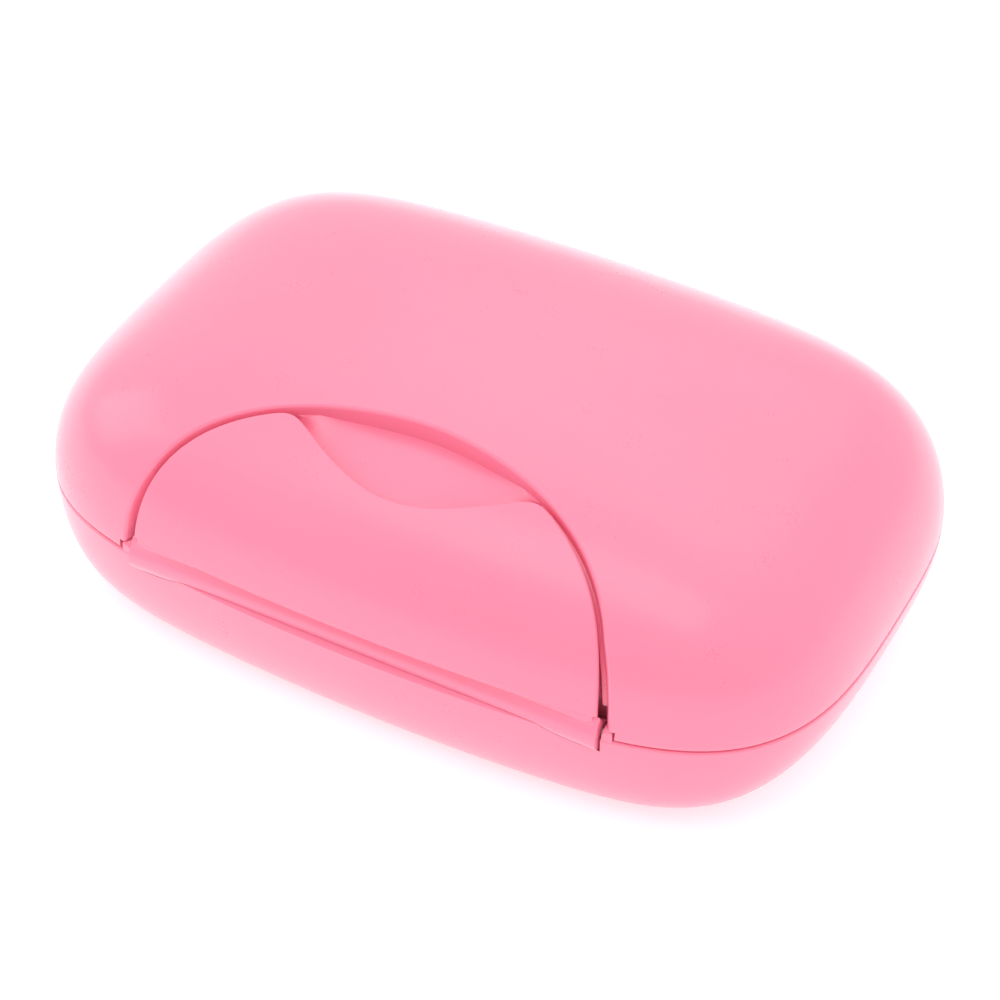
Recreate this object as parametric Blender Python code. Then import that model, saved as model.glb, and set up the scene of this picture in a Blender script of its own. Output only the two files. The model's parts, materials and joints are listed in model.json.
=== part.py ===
"""Pebble-shaped travel soap box with a hinged lid and an arched front clasp.

Units are metres and +Z is up.  The box stands on its flat bottom at Z = 0, its length
runs along X, the clasp is at the front (-Y) and the lid hinge at the back (+Y).
"""
import math

import bmesh
import bpy
from mathutils import Vector

# Overall form
body_length = 0.115
body_width = 0.0761
base_height = 0.01645
lid_height = 0.0218
bottom_cut = 0.00075
wall = 0.002
rim_gap = 0.00025
seat_gap = 0.0003
edge_break = 0.0003
overrun = 0.006

# Outline of the body, as shares of its half length and half width
end_bow_share = 0.0245
side_bow_share = 0.11
outline_power_shares = (6.0, 3.6)
lid_square_share = 0.45
base_square_share = 0.63
lid_round_shares = (3.98, 3.51, 1.98)
base_round_shares = (7.5, 12.5, 1.83)
around_count = 72
lid_ring_shares = (0.99, 0.975, 0.955, 0.93, 0.9, 0.86, 0.81, 0.75, 0.67, 0.57, 0.45, 0.3, 0.15)
base_ring_shares = (0.98, 0.93, 0.85, 0.72, 0.57, 0.42, 0.29, 0.19, 0.12)

# Rim flange, seal groove and lid tongue
flange_thickness = 0.0045
flange_land = 0.0009
lid_bead_height = 0.003
bead_slope = 0.0035
groove_inset = 0.003
groove_width = 0.0018
groove_depth = 0.0026
seal_width = 0.0013
seal_height = 0.0013
tongue_width = 0.0011
tongue_drop = 0.0007

# Front clasp
arch_end_room = 0.0226
arch_root_outset = 0.00195
arch_reach = 0.0234
arch_power_share = 1.81
arch_point_count = 44
foot_flare_start = 0.006
foot_flare_share = 0.2
clasp_gap = 0.0006
clasp_wall = 0.0019
clasp_foot = 0.00275
recess_depth = 0.0026
recess_wall = 0.0017
pad_margin = 0.002
scoop_depth = 0.0029
scoop_half_width = 0.019
scoop_start = 0.0124
scoop_run = 0.0035
scoop_power_share = 3
bite_half_width = 0.0175
bite_depth = 0.0062
bite_inset = 0.01675
bite_power_share = 1.3
bite_point_count = 24
clasp_axis_inset = 0.00345
lip_radius = 0.0025
lip_lower_sweep = math.radians(60)
lip_upper_sweep = math.radians(35)
lip_rise = 0.002
lip_run = 0.00025
eye_radius = 0.00145
lip_end_gap = 0.0013
neck_sweep = math.radians(54)
neck_root = 0.0026
neck_back = 0.0003
neck_top = 0.0036
neck_inset = 0.0002
clasp_run = 0.00035
clasp_swing = math.radians(50)
trough_stop = math.radians(12)
ramp_slope = math.radians(38)
ear_width = 0.0014
ear_radius = 0.0017
trough_wall = 0.00065
dent_run = 0.011
catch_height = 0.0097
catch_half_width = 0.006
catch_radius = 0.0006
catch_depth = 0.0024
catch_room = 0.0003

# Lid hinge
lid_axis_outset = 0.00135
knuckle_radius = 0.0022
station_x = 0.016
lid_knuckle_width = 0.006
base_knuckle_width = 0.004
web_reach = 0.0033
web_height = 0.002

# Hinge pins
lid_pin_radius = 0.0008
clasp_pin_radius = 0.0006
pin_clearance = 0.0002
clasp_pin_length = 0.005

# Drain tray
tray_end_room = 0.0095
tray_side_room = 0.00945
tray_shift_y = 0.0016
tray_thickness = 0.0016
tray_leg = 0.0029
tray_leg_radius = 0.0016
tray_border = 0.0016
tray_border_height = 0.0012
slot_width = 0.003
slot_side_room = 0.0106
slot_end_room = 0.0128
slot_count = 9
leg_shares = (0.62, 0.7)

half_length = body_length / 2
half_width = body_width / 2
bottom_reach = base_height + bottom_cut
arch_half_width = half_length - arch_end_room
arch_root_y = -half_width - arch_root_outset
bite_y = -half_width + bite_inset
clasp_axis_y = -half_width + clasp_axis_inset
lip_half_length = arch_half_width - lip_end_gap
dent_flat = lip_half_length + seat_gap + ear_width
dent_depth = clasp_axis_inset + eye_radius + clasp_run + trough_wall - groove_inset + groove_width / 2
tray_length = body_length - 2 * tray_end_room
tray_width = body_width - 2 * tray_side_room
slot_length = tray_width - 2 * slot_side_room
slot_pitch = (tray_length - 2 * slot_end_room) / (slot_count - 1)
lid_axis_y = half_width + lid_axis_outset
body_centre_y = (half_width - lid_axis_y - knuckle_radius) / 2
scoop_limit_share = 1.6
round_segments = 24
arc_segments = 10
slot_end_segments = 6
leg_segments = 12
halving_count = 34
small_angle = 0.01
small_index_step = 0.1
small_level_share = 0.002


def make_collection(name):
    """Link a new collection to the scene."""
    collection = bpy.data.collections.new(name)
    bpy.context.scene.collection.children.link(collection)
    return collection


def make_datum(collection):
    """Empty at the centre of the parting plane, which carries every piece."""
    datum = bpy.data.objects.new("body_datum", None)
    datum.location = (0, body_centre_y, base_height)
    collection.objects.link(datum)
    return datum


def make_material(name, colour, roughness, metallic):
    """Principled material of one colour."""
    material = bpy.data.materials.new(name)
    material.use_nodes = True
    shader = material.node_tree.nodes["Principled BSDF"]
    shader.inputs["Base Color"].default_value = (*colour, 1)
    shader.inputs["Roughness"].default_value = roughness
    shader.inputs["Metallic"].default_value = metallic
    material.diffuse_color = (*colour, 1)
    return material


def signed_unit(direction, square):
    """Outline point in a direction of the unit square, found by halving."""
    power_x, power_y = (power * (1 + square) for power in outline_power_shares)
    along, across = abs(direction[0]), abs(direction[1])
    low, high = 0, 2
    for _ in range(halving_count):
        middle = (low + high) / 2
        u, v = middle * along, middle * across
        bowed_u = u / max(1 - end_bow_share * v * v, side_bow_share)
        bowed_v = v / max(1 - side_bow_share * u * u, side_bow_share)
        if bowed_u ** power_x + bowed_v ** power_y < 1:
            low = middle
        else:
            high = middle
    return direction[0] * low, direction[1] * low


unit_outlines = {}


def outline_unit(index, square):
    """Cached outline point number index for one squareness."""
    key = (round(index, 4), round(square, 6))
    if key not in unit_outlines:
        angle = math.tau * index / around_count
        unit_outlines[key] = signed_unit((math.cos(angle), math.sin(angle)), square)
    return unit_outlines[key]


def body_point(index, level, side):
    """Point of the outer form: level 1 is the parting plane, 0 the pole; side is +1 or -1."""
    shares = lid_round_shares if side > 0 else base_round_shares
    reach = lid_height if side > 0 else bottom_reach
    squareness = lid_square_share if side > 0 else base_square_share
    height_share = (1 - level) ** (1 / shares[2])
    u, v = outline_unit(index, squareness * height_share ** 2)
    x = half_length * level ** (1 / shares[0]) * u
    y = half_width * level ** (1 / shares[1]) * v
    return Vector((x, y, side * reach * height_share))


def body_normal(index, level, side):
    """Outward normal of the outer form from small differences."""
    step = small_level_share
    near = min(max(level, 2 * step), 1 - 2 * step)
    ahead, behind = index + small_index_step, index - small_index_step
    around = body_point(ahead, near, side) - body_point(behind, near, side)
    up = body_point(index, near - step, side) - body_point(index, near + step, side)
    normal = around.cross(up) * side
    if level > 1 - 2 * step:
        normal.z = 0
    return normal.normalized()


def offset_point(index, level, side, inset):
    """Point of the form moved inward along its normal."""
    return body_point(index, level, side) - body_normal(index, level, side) * inset


def dent_at(point):
    """How far the rim flange steps inward behind the clasp hinge at this point."""
    if point.y > 0:
        return 0
    run = (abs(point.x) - dent_flat) / dent_run
    run = min(max(run, 0), 1)
    return dent_depth * (1 + math.cos(math.pi * run)) / 2


def rim_point(index, inset, z, dented):
    """Point at a height z on the rim outline moved inward."""
    point = body_point(index, 1, 1)
    normal = body_normal(index, 1, 1)
    depth = inset + (dent_at(point) if dented else 0)
    return Vector((point.x - normal.x * depth, point.y - normal.y * depth, z))


def ring(make_point):
    """One closed ring of points."""
    return [make_point(index) for index in range(around_count)]


def loft(name, rings, pole_low=None, pole_high=None, closed=False):
    """Skin a stack of rings; the ends close on a pole point or on a flat face."""
    mesh = bpy.data.meshes.new(name)
    form = bmesh.new()
    rows = [[form.verts.new(point) for point in points] for points in rings]
    pairs = list(zip(rows, rows[1:]))
    if closed:
        pairs.append((rows[-1], rows[0]))
    for lower, upper in pairs:
        for index in range(around_count):
            following = (index + 1) % around_count
            form.faces.new((lower[index], lower[following], upper[following], upper[index]))
    if not closed:
        close_end(form, rows[0], pole_low, True)
        close_end(form, rows[-1], pole_high, False)
    bmesh.ops.recalc_face_normals(form, faces=form.faces)
    form.to_mesh(mesh)
    form.free()
    return bpy.data.objects.new(name, mesh)


def close_end(form, row, pole, flipped):
    """Close one end of a loft with a fan to a pole or with one flat face."""
    if pole is None:
        form.faces.new(row[::-1] if flipped else row)
        return
    tip = form.verts.new(pole)
    for index, vertex in enumerate(row):
        following = row[(index + 1) % len(row)]
        form.faces.new((following, vertex, tip) if flipped else (vertex, following, tip))


def lid_levels():
    """Levels of the rings above the parting plane, from the plane upward."""
    mean_power = (lid_round_shares[0] + lid_round_shares[1]) / 2
    return [share ** mean_power for share in lid_ring_shares]


def base_flat_level():
    """Level at which the lower form meets the flat bottom."""
    return 1 - (base_height / bottom_reach) ** base_round_shares[2]


def full_form(name, inset):
    """Whole pebble, above and below the parting plane, moved inward by an inset."""
    lower = [ring(lambda i, g=g: offset_point(i, g, -1, inset)) for g in base_ring_shares[::-1]]
    middle = [ring(lambda i: offset_point(i, 1, 1, inset))]
    upper = [ring(lambda i, g=g: offset_point(i, g, 1, inset)) for g in lid_levels()]
    low = Vector((0, 0, inset - bottom_reach))
    high = Vector((0, 0, lid_height - inset))
    return loft(name, lower + middle + upper, low, high)


def prism(name, outline, low, high):
    """Flat outline raised between two heights."""
    mesh = bpy.data.meshes.new(name)
    form = bmesh.new()
    face = form.faces.new([form.verts.new((x, y, low)) for x, y in outline])
    raised = bmesh.ops.extrude_face_region(form, geom=[face])
    top = [item for item in raised["geom"] if isinstance(item, bmesh.types.BMVert)]
    bmesh.ops.translate(form, verts=top, vec=(0, 0, high - low))
    bmesh.ops.recalc_face_normals(form, faces=form.faces)
    form.to_mesh(mesh)
    form.free()
    return bpy.data.objects.new(name, mesh)


def cross_bar(name, outline, left, right):
    """Profile of (y, z) points run along X between two stations."""
    mesh = bpy.data.meshes.new(name)
    form = bmesh.new()
    face = form.faces.new([form.verts.new((left, y, z)) for y, z in outline])
    pushed = bmesh.ops.extrude_face_region(form, geom=[face])
    far = [item for item in pushed["geom"] if isinstance(item, bmesh.types.BMVert)]
    bmesh.ops.translate(form, verts=far, vec=(right - left, 0, 0))
    bmesh.ops.recalc_face_normals(form, faces=form.faces)
    form.to_mesh(mesh)
    form.free()
    return bpy.data.objects.new(name, mesh)


def rod(name, left, right, y, z, radius):
    """Cylinder along X between two stations."""
    mesh = bpy.data.meshes.new(name)
    form = bmesh.new()
    bmesh.ops.create_cone(form, cap_ends=True, segments=round_segments, radius1=radius,
                          radius2=radius, depth=right - left)
    for vertex in form.verts:
        x, old_y, old_z = vertex.co
        vertex.co = (old_z + (left + right) / 2, y + old_y, z - x)
    form.to_mesh(mesh)
    form.free()
    return bpy.data.objects.new(name, mesh)


def block(name, low, high):
    """Box between two corners."""
    outline = [(low[0], low[1]), (high[0], low[1]), (high[0], high[1]), (low[0], high[1])]
    return prism(name, outline, low[2], high[2])


def arc(centre_y, centre_z, radius, start, stop, count):
    """Points of an arc in the YZ plane; angle 0 points to the front and rises with the angle."""
    angles = [start + (stop - start) * step / count for step in range(count + 1)]
    return [(centre_y - radius * math.cos(a), centre_z + radius * math.sin(a)) for a in angles]


class Workshop:
    """Keeps the collections and parents, and applies cutters to pieces."""

    def __init__(self):
        self.pieces = make_collection("soap_box")
        self.cutters = make_collection("soap_box_cutters")
        self.datum = make_datum(self.pieces)

    def tool(self, item):
        """Keep an object as a hidden cutter or filler."""
        self.cutters.objects.link(item)
        item.parent = self.datum
        item.hide_render = True
        item.display_type = "WIRE"
        return item

    def piece(self, item, material, origin=(0, 0, 0)):
        """Keep an object as a finished piece with its origin at a point."""
        self.pieces.objects.link(item)
        item.parent = self.datum
        item.location = origin
        for vertex in item.data.vertices:
            vertex.co -= Vector(origin)
        item.data.materials.append(material)
        item.data.shade_smooth()
        item.data.set_sharp_from_angle(angle=math.radians(32))
        return item

    def combine(self, item, operation, tool):
        """Add a Boolean modifier."""
        modifier = item.modifiers.new(tool.name, "BOOLEAN")
        modifier.operation = operation
        modifier.object = tool


def arch_outline(grow, front_y, flare_share=0):
    """Arch of the clasp in plan, grown outward, closed by a straight front edge."""
    start_y = foot_flare_start - half_width
    points = []
    for step in range(arch_point_count + 1):
        angle = math.pi * step / arch_point_count
        x, y = arch_point(angle)
        before, after = arch_point(angle - small_angle), arch_point(angle + small_angle)
        tangent = Vector((after[0] - before[0], after[1] - before[1])).normalized()
        x += tangent.y * grow
        y -= tangent.x * grow
        points.append((x + math.copysign(flare_share * max(start_y - y, 0), x), y))
    return [(points[0][0], front_y)] + points + [(points[-1][0], front_y)]


def arch_point(angle):
    """Point of the arch curve; angle 0 is its right foot and pi its left foot."""
    power = 2 / arch_power_share
    x = arch_half_width * math.copysign(abs(math.cos(angle)) ** power, math.cos(angle))
    y = arch_root_y + arch_reach * math.copysign(abs(math.sin(angle)) ** power, math.sin(angle))
    return x, y


def bite_outline(shift):
    """Finger bite in the clasp's upper edge, in plan, moved back by a shift."""
    points = []
    for step in range(bite_point_count + 1):
        share = 2 * step / bite_point_count - 1
        depth = bite_depth * (1 - share ** 2) ** bite_power_share
        points.append((bite_half_width * share, bite_y - depth + shift))
    reach = arch_half_width
    return [(-reach, bite_y + shift)] + points + [(reach, bite_y + shift), (reach, 0), (-reach, 0)]


def base_rings():
    """Rings of the base shell from the bottom, over the rim, to the inner floor."""
    flat = base_flat_level()
    levels = [flat] + list(base_ring_shares[::-1])
    outer = [ring(lambda i, g=g: body_point(i, g, -1)) for g in levels]
    rim = [ring(lambda i: rim_point(i, 0, -edge_break, False)),
           ring(lambda i: rim_point(i, edge_break, 0, False))]
    near, far = groove_inset - groove_width / 2, groove_inset + groove_width / 2
    rim += [ring(lambda i: rim_point(i, near, 0, True)),
            ring(lambda i: rim_point(i, near, -groove_depth, True)),
            ring(lambda i: rim_point(i, far, -groove_depth, True)),
            ring(lambda i: rim_point(i, far, 0, True)),
            ring(lambda i: rim_point(i, far + flange_land, 0, True)),
            ring(lambda i: rim_point(i, far + flange_land, -flange_thickness, True))]
    inner_levels = [g for g in base_ring_shares if base_drop(g) > flange_thickness + bead_slope]
    inner = [ring(lambda i, g=g: offset_point(i, g, -1, wall)) for g in inner_levels]
    floor = [ring(lambda i: floor_point(i, flat))]
    return outer + rim + inner + floor


def base_drop(level):
    """Depth of a level of the lower form below the parting plane."""
    return bottom_reach * (1 - level) ** (1 / base_round_shares[2])


def floor_point(index, level):
    """Edge of the inner floor."""
    point = offset_point(index, level, -1, wall)
    point.z = wall - base_height
    return point


def notch_profile():
    """Trough under the clasp's hinge, which ends at the front in a short rising ramp."""
    back = clasp_axis_y + eye_radius + clasp_run
    trough = arc(clasp_axis_y, 0, lip_radius + lip_run, -lip_lower_sweep - clasp_swing,
                 -trough_stop, arc_segments)
    ramp_y, ramp_z = trough[-1]
    ramp = (ramp_y - overrun * math.cos(ramp_slope), ramp_z + overrun * math.sin(ramp_slope))
    return [(back, overrun), (back, -eye_radius - clasp_run)] + trough + [ramp]


def make_base(shop, material):
    """Tub with rim flange, seal groove, clasp notch with ears, and rear knuckles."""
    base = shop.piece(loft("base_shell", base_rings()), material)
    notch_half = lip_half_length + seat_gap
    outside = shop.tool(full_form("base_outside", 0))
    shop.combine(base, "DIFFERENCE",
                 shop.tool(cross_bar("clasp_notch", notch_profile(), -notch_half, notch_half)))
    for side in (-1, 1):
        ends = sorted((side * notch_half, side * (notch_half + ear_width)))
        ear = shop.tool(rod(f"ear_{side}", *ends, clasp_axis_y, 0, ear_radius))
        shop.combine(ear, "INTERSECT", outside)
        shop.combine(base, "UNION", ear)
        ends = sorted((side * (notch_half - seat_gap), side * (notch_half + ear_width - seat_gap)))
        hole = shop.tool(rod(f"ear_hole_{side}", *ends, clasp_axis_y, 0,
                             clasp_pin_radius + pin_clearance))
        shop.combine(base, "DIFFERENCE", hole)
        add_knuckles(shop, base, side, True)
    return base


def knuckle_spans(side, for_base):
    """X spans of the knuckles of one hinge station that belong to one shell."""
    centre, half = side * station_x, lid_knuckle_width / 2
    if not for_base:
        return [(centre - half, centre + half)]
    near = half + seat_gap
    return [(centre - near - base_knuckle_width, centre - near),
            (centre + near, centre + near + base_knuckle_width)]


def add_knuckles(shop, shell, side, for_base):
    """Clear the rim around one hinge station, then add this shell's own knuckles."""
    name = shell.name + ("_right" if side > 0 else "_left")
    station_half = lid_knuckle_width / 2 + base_knuckle_width + 2 * seat_gap
    centre = side * station_x
    room = rod(name + "_room", centre - station_half, centre + station_half, lid_axis_y, 0,
               knuckle_radius + clasp_run)
    shop.combine(shell, "DIFFERENCE", shop.tool(room))
    for number, (left, right) in enumerate(knuckle_spans(side, for_base)):
        knuckle = rod(f"{name}_knuckle_{number}", left, right, lid_axis_y, 0, knuckle_radius)
        shop.combine(shell, "UNION", shop.tool(knuckle))
        low, high = (-web_height, -rim_gap) if for_base else (rim_gap, web_height)
        web = block(f"{name}_web_{number}", (left, lid_axis_y - web_reach, low),
                    (right, lid_axis_y, high))
        shop.combine(shell, "UNION", shop.tool(web))
    outer_end = station_half if side > 0 else -station_half
    inner_end = -outer_end + math.copysign(2 * seat_gap, outer_end)
    ends = sorted((centre + outer_end, centre + inner_end))
    hole = rod(name + "_hole", *ends, lid_axis_y, 0, lid_pin_radius + pin_clearance)
    shop.combine(shell, "DIFFERENCE", shop.tool(hole))


def lid_rings():
    """Rings of the lid shell from the inner top, down round the rim, to the outer top."""
    width = groove_inset + groove_width / 2 + flange_land
    near, far = groove_inset - tongue_width / 2, groove_inset + tongue_width / 2
    levels = [g for g in lid_levels() if lid_rise(g) > lid_bead_height + bead_slope]
    inner = [ring(lambda i, g=g: offset_point(i, g, 1, wall)) for g in levels[::-1]]
    bead = [ring(lambda i, s=s, z=z: rim_point(i, s, z, True))
            for s, z in ((width, lid_bead_height), (width, rim_gap), (far, rim_gap),
                         (far, -tongue_drop), (near, -tongue_drop), (near, rim_gap))]
    rim = [ring(lambda i: rim_point(i, edge_break, rim_gap, False)),
           ring(lambda i: rim_point(i, 0, rim_gap + edge_break, False))]
    outer = [ring(lambda i, g=g: body_point(i, g, 1)) for g in lid_levels()]
    return inner + bead + rim + outer


def lid_rise(level):
    """Height of a level of the upper form above the parting plane."""
    return lid_height * (1 - level) ** (1 / lid_round_shares[2])


def make_lid(shop, material):
    """Domed lid with the recess for the clasp, its catch groove, tongue and knuckles."""
    shell = loft("lid_shell", lid_rings(), Vector((0, 0, lid_height - wall)),
                 Vector((0, 0, lid_height)))
    lid = shop.piece(shell, material, (0, lid_axis_y, 0))
    front = -half_width - overrun
    pad = shop.tool(prism("recess_pad", arch_outline(pad_margin, front, foot_flare_share),
                          lid_bead_height / 2, lid_height + overrun))
    shop.combine(pad, "INTERSECT", shop.tool(full_form("recess_pad_outside", wall / 2)))
    shop.combine(pad, "DIFFERENCE",
                 shop.tool(full_form("recess_pad_inside", recess_depth + recess_wall)))
    shop.combine(lid, "UNION", pad)
    root_half = lip_half_length + seat_gap
    root = block("clasp_root_room", (-root_half, front, -overrun),
                 (root_half, clasp_axis_y + eye_radius + clasp_run, neck_top + clasp_run))
    shop.combine(lid, "DIFFERENCE", shop.tool(root))
    for side in (-1, 1):
        ends = sorted((side * lip_half_length, side * (root_half + ear_width + clasp_run)))
        room = rod(f"ear_room_{side}", *ends, clasp_axis_y, 0, ear_radius + clasp_run)
        shop.combine(lid, "DIFFERENCE", shop.tool(room))
        add_knuckles(shop, lid, side, False)
    cut_recess(shop, lid, front)
    groove_half = catch_half_width + seat_gap
    y, z = catch_place()
    groove = rod("catch_groove", -groove_half, groove_half, y, z, catch_radius + catch_room)
    shop.combine(lid, "DIFFERENCE", shop.tool(groove))
    return lid


def cut_recess(shop, lid, front):
    """Pocket under the clasp and, behind its finger bite, the scoop for the fingertip."""
    kept = shop.tool(prism("behind_bite", bite_outline(clasp_gap), -2 * overrun,
                           lid_height + 2 * overrun))
    shop.combine(kept, "UNION", shop.tool(full_form("recess_floor", recess_depth)))
    shop.combine(kept, "INTERSECT", shop.tool(scoop_form()))
    recess = shop.tool(prism("recess", arch_outline(0, front, foot_flare_share), -overrun,
                             lid_height + overrun))
    shop.combine(recess, "DIFFERENCE", kept)
    shop.combine(lid, "DIFFERENCE", recess)


def scoop_form():
    """Pebble whose front is lowered where the fingertip reaches behind the clasp."""
    levels = lid_levels()
    rows = [ring(lambda i: scoop_point(i, levels[0]) - Vector((0, 0, overrun)))]
    rows += [ring(lambda i, g=g: scoop_point(i, g)) for g in levels]
    return loft("scoop_floor", rows, None, scoop_point(3 * around_count / 4, 0))


def scoop_point(index, level):
    """Point of the scoop's floor, deepest high up in the middle of the clasp."""
    point = body_point(index, level, 1)
    share = min(abs(point.x) / scoop_half_width, scoop_limit_share)
    rise_share = min(max((point.z - scoop_start) / scoop_run, 0), 1)
    depth = scoop_depth * rise_share * (1 - share ** scoop_power_share)
    return point - body_normal(index, level, 1) * depth


def catch_place():
    """Centre of the clasp's catch bead, in the middle of the front, in Y and Z."""
    index = 3 * around_count / 4
    level = 1 - ((catch_height + catch_depth / 2) / lid_height) ** lid_round_shares[2]
    point = offset_point(index, level, 1, catch_depth)
    return point.y, point.z


def lip_profile():
    """Rounded front of the hinge lip, its slope up to the flap, and the eye round the pin."""
    front = arc(clasp_axis_y, 0, lip_radius, -lip_lower_sweep, lip_upper_sweep, arc_segments)
    y, z = front[-1]
    slope = (y + lip_rise * math.sin(lip_upper_sweep), z + lip_rise * math.cos(lip_upper_sweep))
    eye = arc(clasp_axis_y, 0, eye_radius, math.radians(90), math.radians(270), arc_segments)
    return front + [slope] + eye


def neck_profile():
    """Web that joins the lip to the flap, clear of the rim that swings past it."""
    reach = neck_top / math.sin(neck_sweep)
    low = (clasp_axis_y - neck_root * math.cos(neck_sweep), neck_root * math.sin(neck_sweep))
    high = (clasp_axis_y - reach * math.cos(neck_sweep), neck_top)
    back = clasp_axis_y - neck_back
    return [low, high, (back, neck_top), (back, eye_radius - seat_gap)]


def make_clasp(shop, material):
    """Arched flap with finger bite, straight hinge lip, pin eyes and catch bead."""
    front = -half_width - overrun
    flap = prism("front_clasp", arch_outline(-clasp_gap, front), clasp_foot,
                 lid_height + overrun)
    flap = shop.piece(flap, material, (0, clasp_axis_y, 0))
    shop.combine(flap, "INTERSECT", shop.tool(full_form("clasp_outside", 0)))
    shop.combine(flap, "DIFFERENCE", shop.tool(full_form("clasp_inside", clasp_wall)))
    shop.combine(flap, "DIFFERENCE",
                 shop.tool(prism("finger_bite", bite_outline(0), 0, lid_height + overrun)))
    neck = shop.tool(cross_bar("clasp_neck", neck_profile(), -lip_half_length, lip_half_length))
    shop.combine(neck, "INTERSECT", shop.tool(full_form("neck_outside", neck_inset)))
    shop.combine(flap, "UNION", neck)
    lip = shop.tool(cross_bar("clasp_lip", lip_profile(), -lip_half_length, lip_half_length))
    shop.combine(flap, "UNION", lip)
    y, z = catch_place()
    shop.combine(flap, "UNION",
                 shop.tool(rod("catch_bead", -catch_half_width, catch_half_width, y, z,
                               catch_radius)))
    depth = clasp_pin_length / 2 + seat_gap
    for side in (-1, 1):
        ends = sorted((side * (lip_half_length - depth), side * (lip_half_length + overrun)))
        hole = rod(f"clasp_hole_{side}", *ends, clasp_axis_y, 0, clasp_pin_radius + pin_clearance)
        shop.combine(flap, "DIFFERENCE", shop.tool(hole))
    return flap


def make_pins(shop, material):
    """Two steel pins in the clasp's ends and one in each station of the lid hinge."""
    for side, word in ((-1, "left"), (1, "right")):
        inner = lip_half_length - clasp_pin_length / 2
        outer = lip_half_length + seat_gap + ear_width - 2 * seat_gap
        ends = sorted((side * inner, side * outer))
        shop.piece(rod(f"clasp_hinge_pin_{word}", *ends, clasp_axis_y, 0, clasp_pin_radius),
                   material, (side * (inner + outer) / 2, clasp_axis_y, 0))
        half = lid_knuckle_width / 2 + base_knuckle_width
        centre = side * station_x
        shop.piece(rod(f"lid_hinge_pin_{word}", centre - half, centre + half, lid_axis_y, 0,
                       lid_pin_radius), material, (centre, lid_axis_y, 0))


def make_seal(shop, material):
    """Soft ring lying in the base's groove."""
    low = seat_gap - groove_depth
    half, middle, high = seal_width / 2, low + seal_height / 2, low + seal_height
    spots = [(-half, middle), (-half / 2, low), (half / 2, low),
             (half, middle), (half / 2, high), (-half / 2, high)]
    rings = [ring(lambda i, s=s, z=z: rim_point(i, groove_inset + s, z, True)) for s, z in spots]
    return shop.piece(loft("seal_ring", rings, closed=True), material)


def tray_outline(length, width):
    """Plan of the drain tray, the same family of curve as the body."""
    points = [outline_unit(index, 0) for index in range(around_count)]
    return [(u * length / 2, v * width / 2 + tray_shift_y) for u, v in points]


def stadium(x, length, width):
    """Slot outline along Y with round ends."""
    points = []
    for end in (1, -1):
        for step in range(slot_end_segments + 1):
            angle = math.pi * step / slot_end_segments + (0 if end > 0 else math.pi)
            points.append((x + width / 2 * math.cos(angle),
                           tray_shift_y + end * (length - width) / 2 + width / 2 * math.sin(angle)))
    return points


def make_tray(shop, material):
    """Slotted plate with a raised border on short legs."""
    floor = wall - base_height + seat_gap
    low = floor + tray_leg
    high = low + tray_thickness
    tray = shop.piece(prism("drain_tray", tray_outline(tray_length, tray_width), low,
                            high + tray_border_height), material)
    inner = tray_outline(tray_length - 2 * tray_border, tray_width - 2 * tray_border)
    shop.combine(tray, "DIFFERENCE", shop.tool(prism("tray_hollow", inner, high, high + overrun)))
    for number in range(slot_count):
        x = slot_pitch * (number - (slot_count - 1) / 2)
        slot = prism(f"tray_slot_{number}", stadium(x, slot_length, slot_width),
                     low - overrun, high + overrun)
        shop.combine(tray, "DIFFERENCE", shop.tool(slot))
    for along in (-1, 0, 1):
        for across in (-1, 1):
            x = along * leg_shares[0] * tray_length / 2
            y = tray_shift_y + across * leg_shares[1] * tray_width / 2
            leg = round_leg(f"tray_leg_{along}_{across}", x, y, floor, low + tray_thickness / 2)
            shop.combine(tray, "UNION", shop.tool(leg))
    return tray


def round_leg(name, x, y, low, high):
    """Short round leg under the tray."""
    angles = [math.tau * step / leg_segments for step in range(leg_segments)]
    points = [(x + tray_leg_radius * math.cos(a), y + tray_leg_radius * math.sin(a))
              for a in angles]
    return prism(name, points, low, high)


def main():
    """Build the whole soap box."""
    for item in list(bpy.data.objects):
        bpy.data.objects.remove(item, do_unlink=True)
    shop = Workshop()
    pink = make_material("pink_plastic", (0.98, 0.41, 0.55), 0.38, 0)
    steel = make_material("pin_steel", (0.60, 0.60, 0.62), 0.3, 1)
    silicone = make_material("seal_silicone", (0.86, 0.86, 0.86), 0.55, 0)
    tray_plastic = make_material("tray_plastic", (0.95, 0.72, 0.78), 0.42, 0)
    make_base(shop, pink)
    make_lid(shop, pink)
    make_clasp(shop, pink)
    make_pins(shop, steel)
    make_seal(shop, silicone)
    make_tray(shop, tray_plastic)


if __name__ == "__main__":
    main()
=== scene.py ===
"""Hinged travel soap box: the dressed model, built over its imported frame.

Lengths are metres in the frame's own axes: the box stands on Z = 0, its length runs along X,
the clasp is at the front (-Y) and the lid hinge at the back (+Y).
"""
import json
import math

import bmesh
import bpy
import numpy as np
from bpy.props import FloatProperty, FloatVectorProperty, IntProperty, PointerProperty
from mathutils import Matrix, Vector
from mathutils.bvhtree import BVHTree
from mathutils.interpolate import poly_3d_calc


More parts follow.
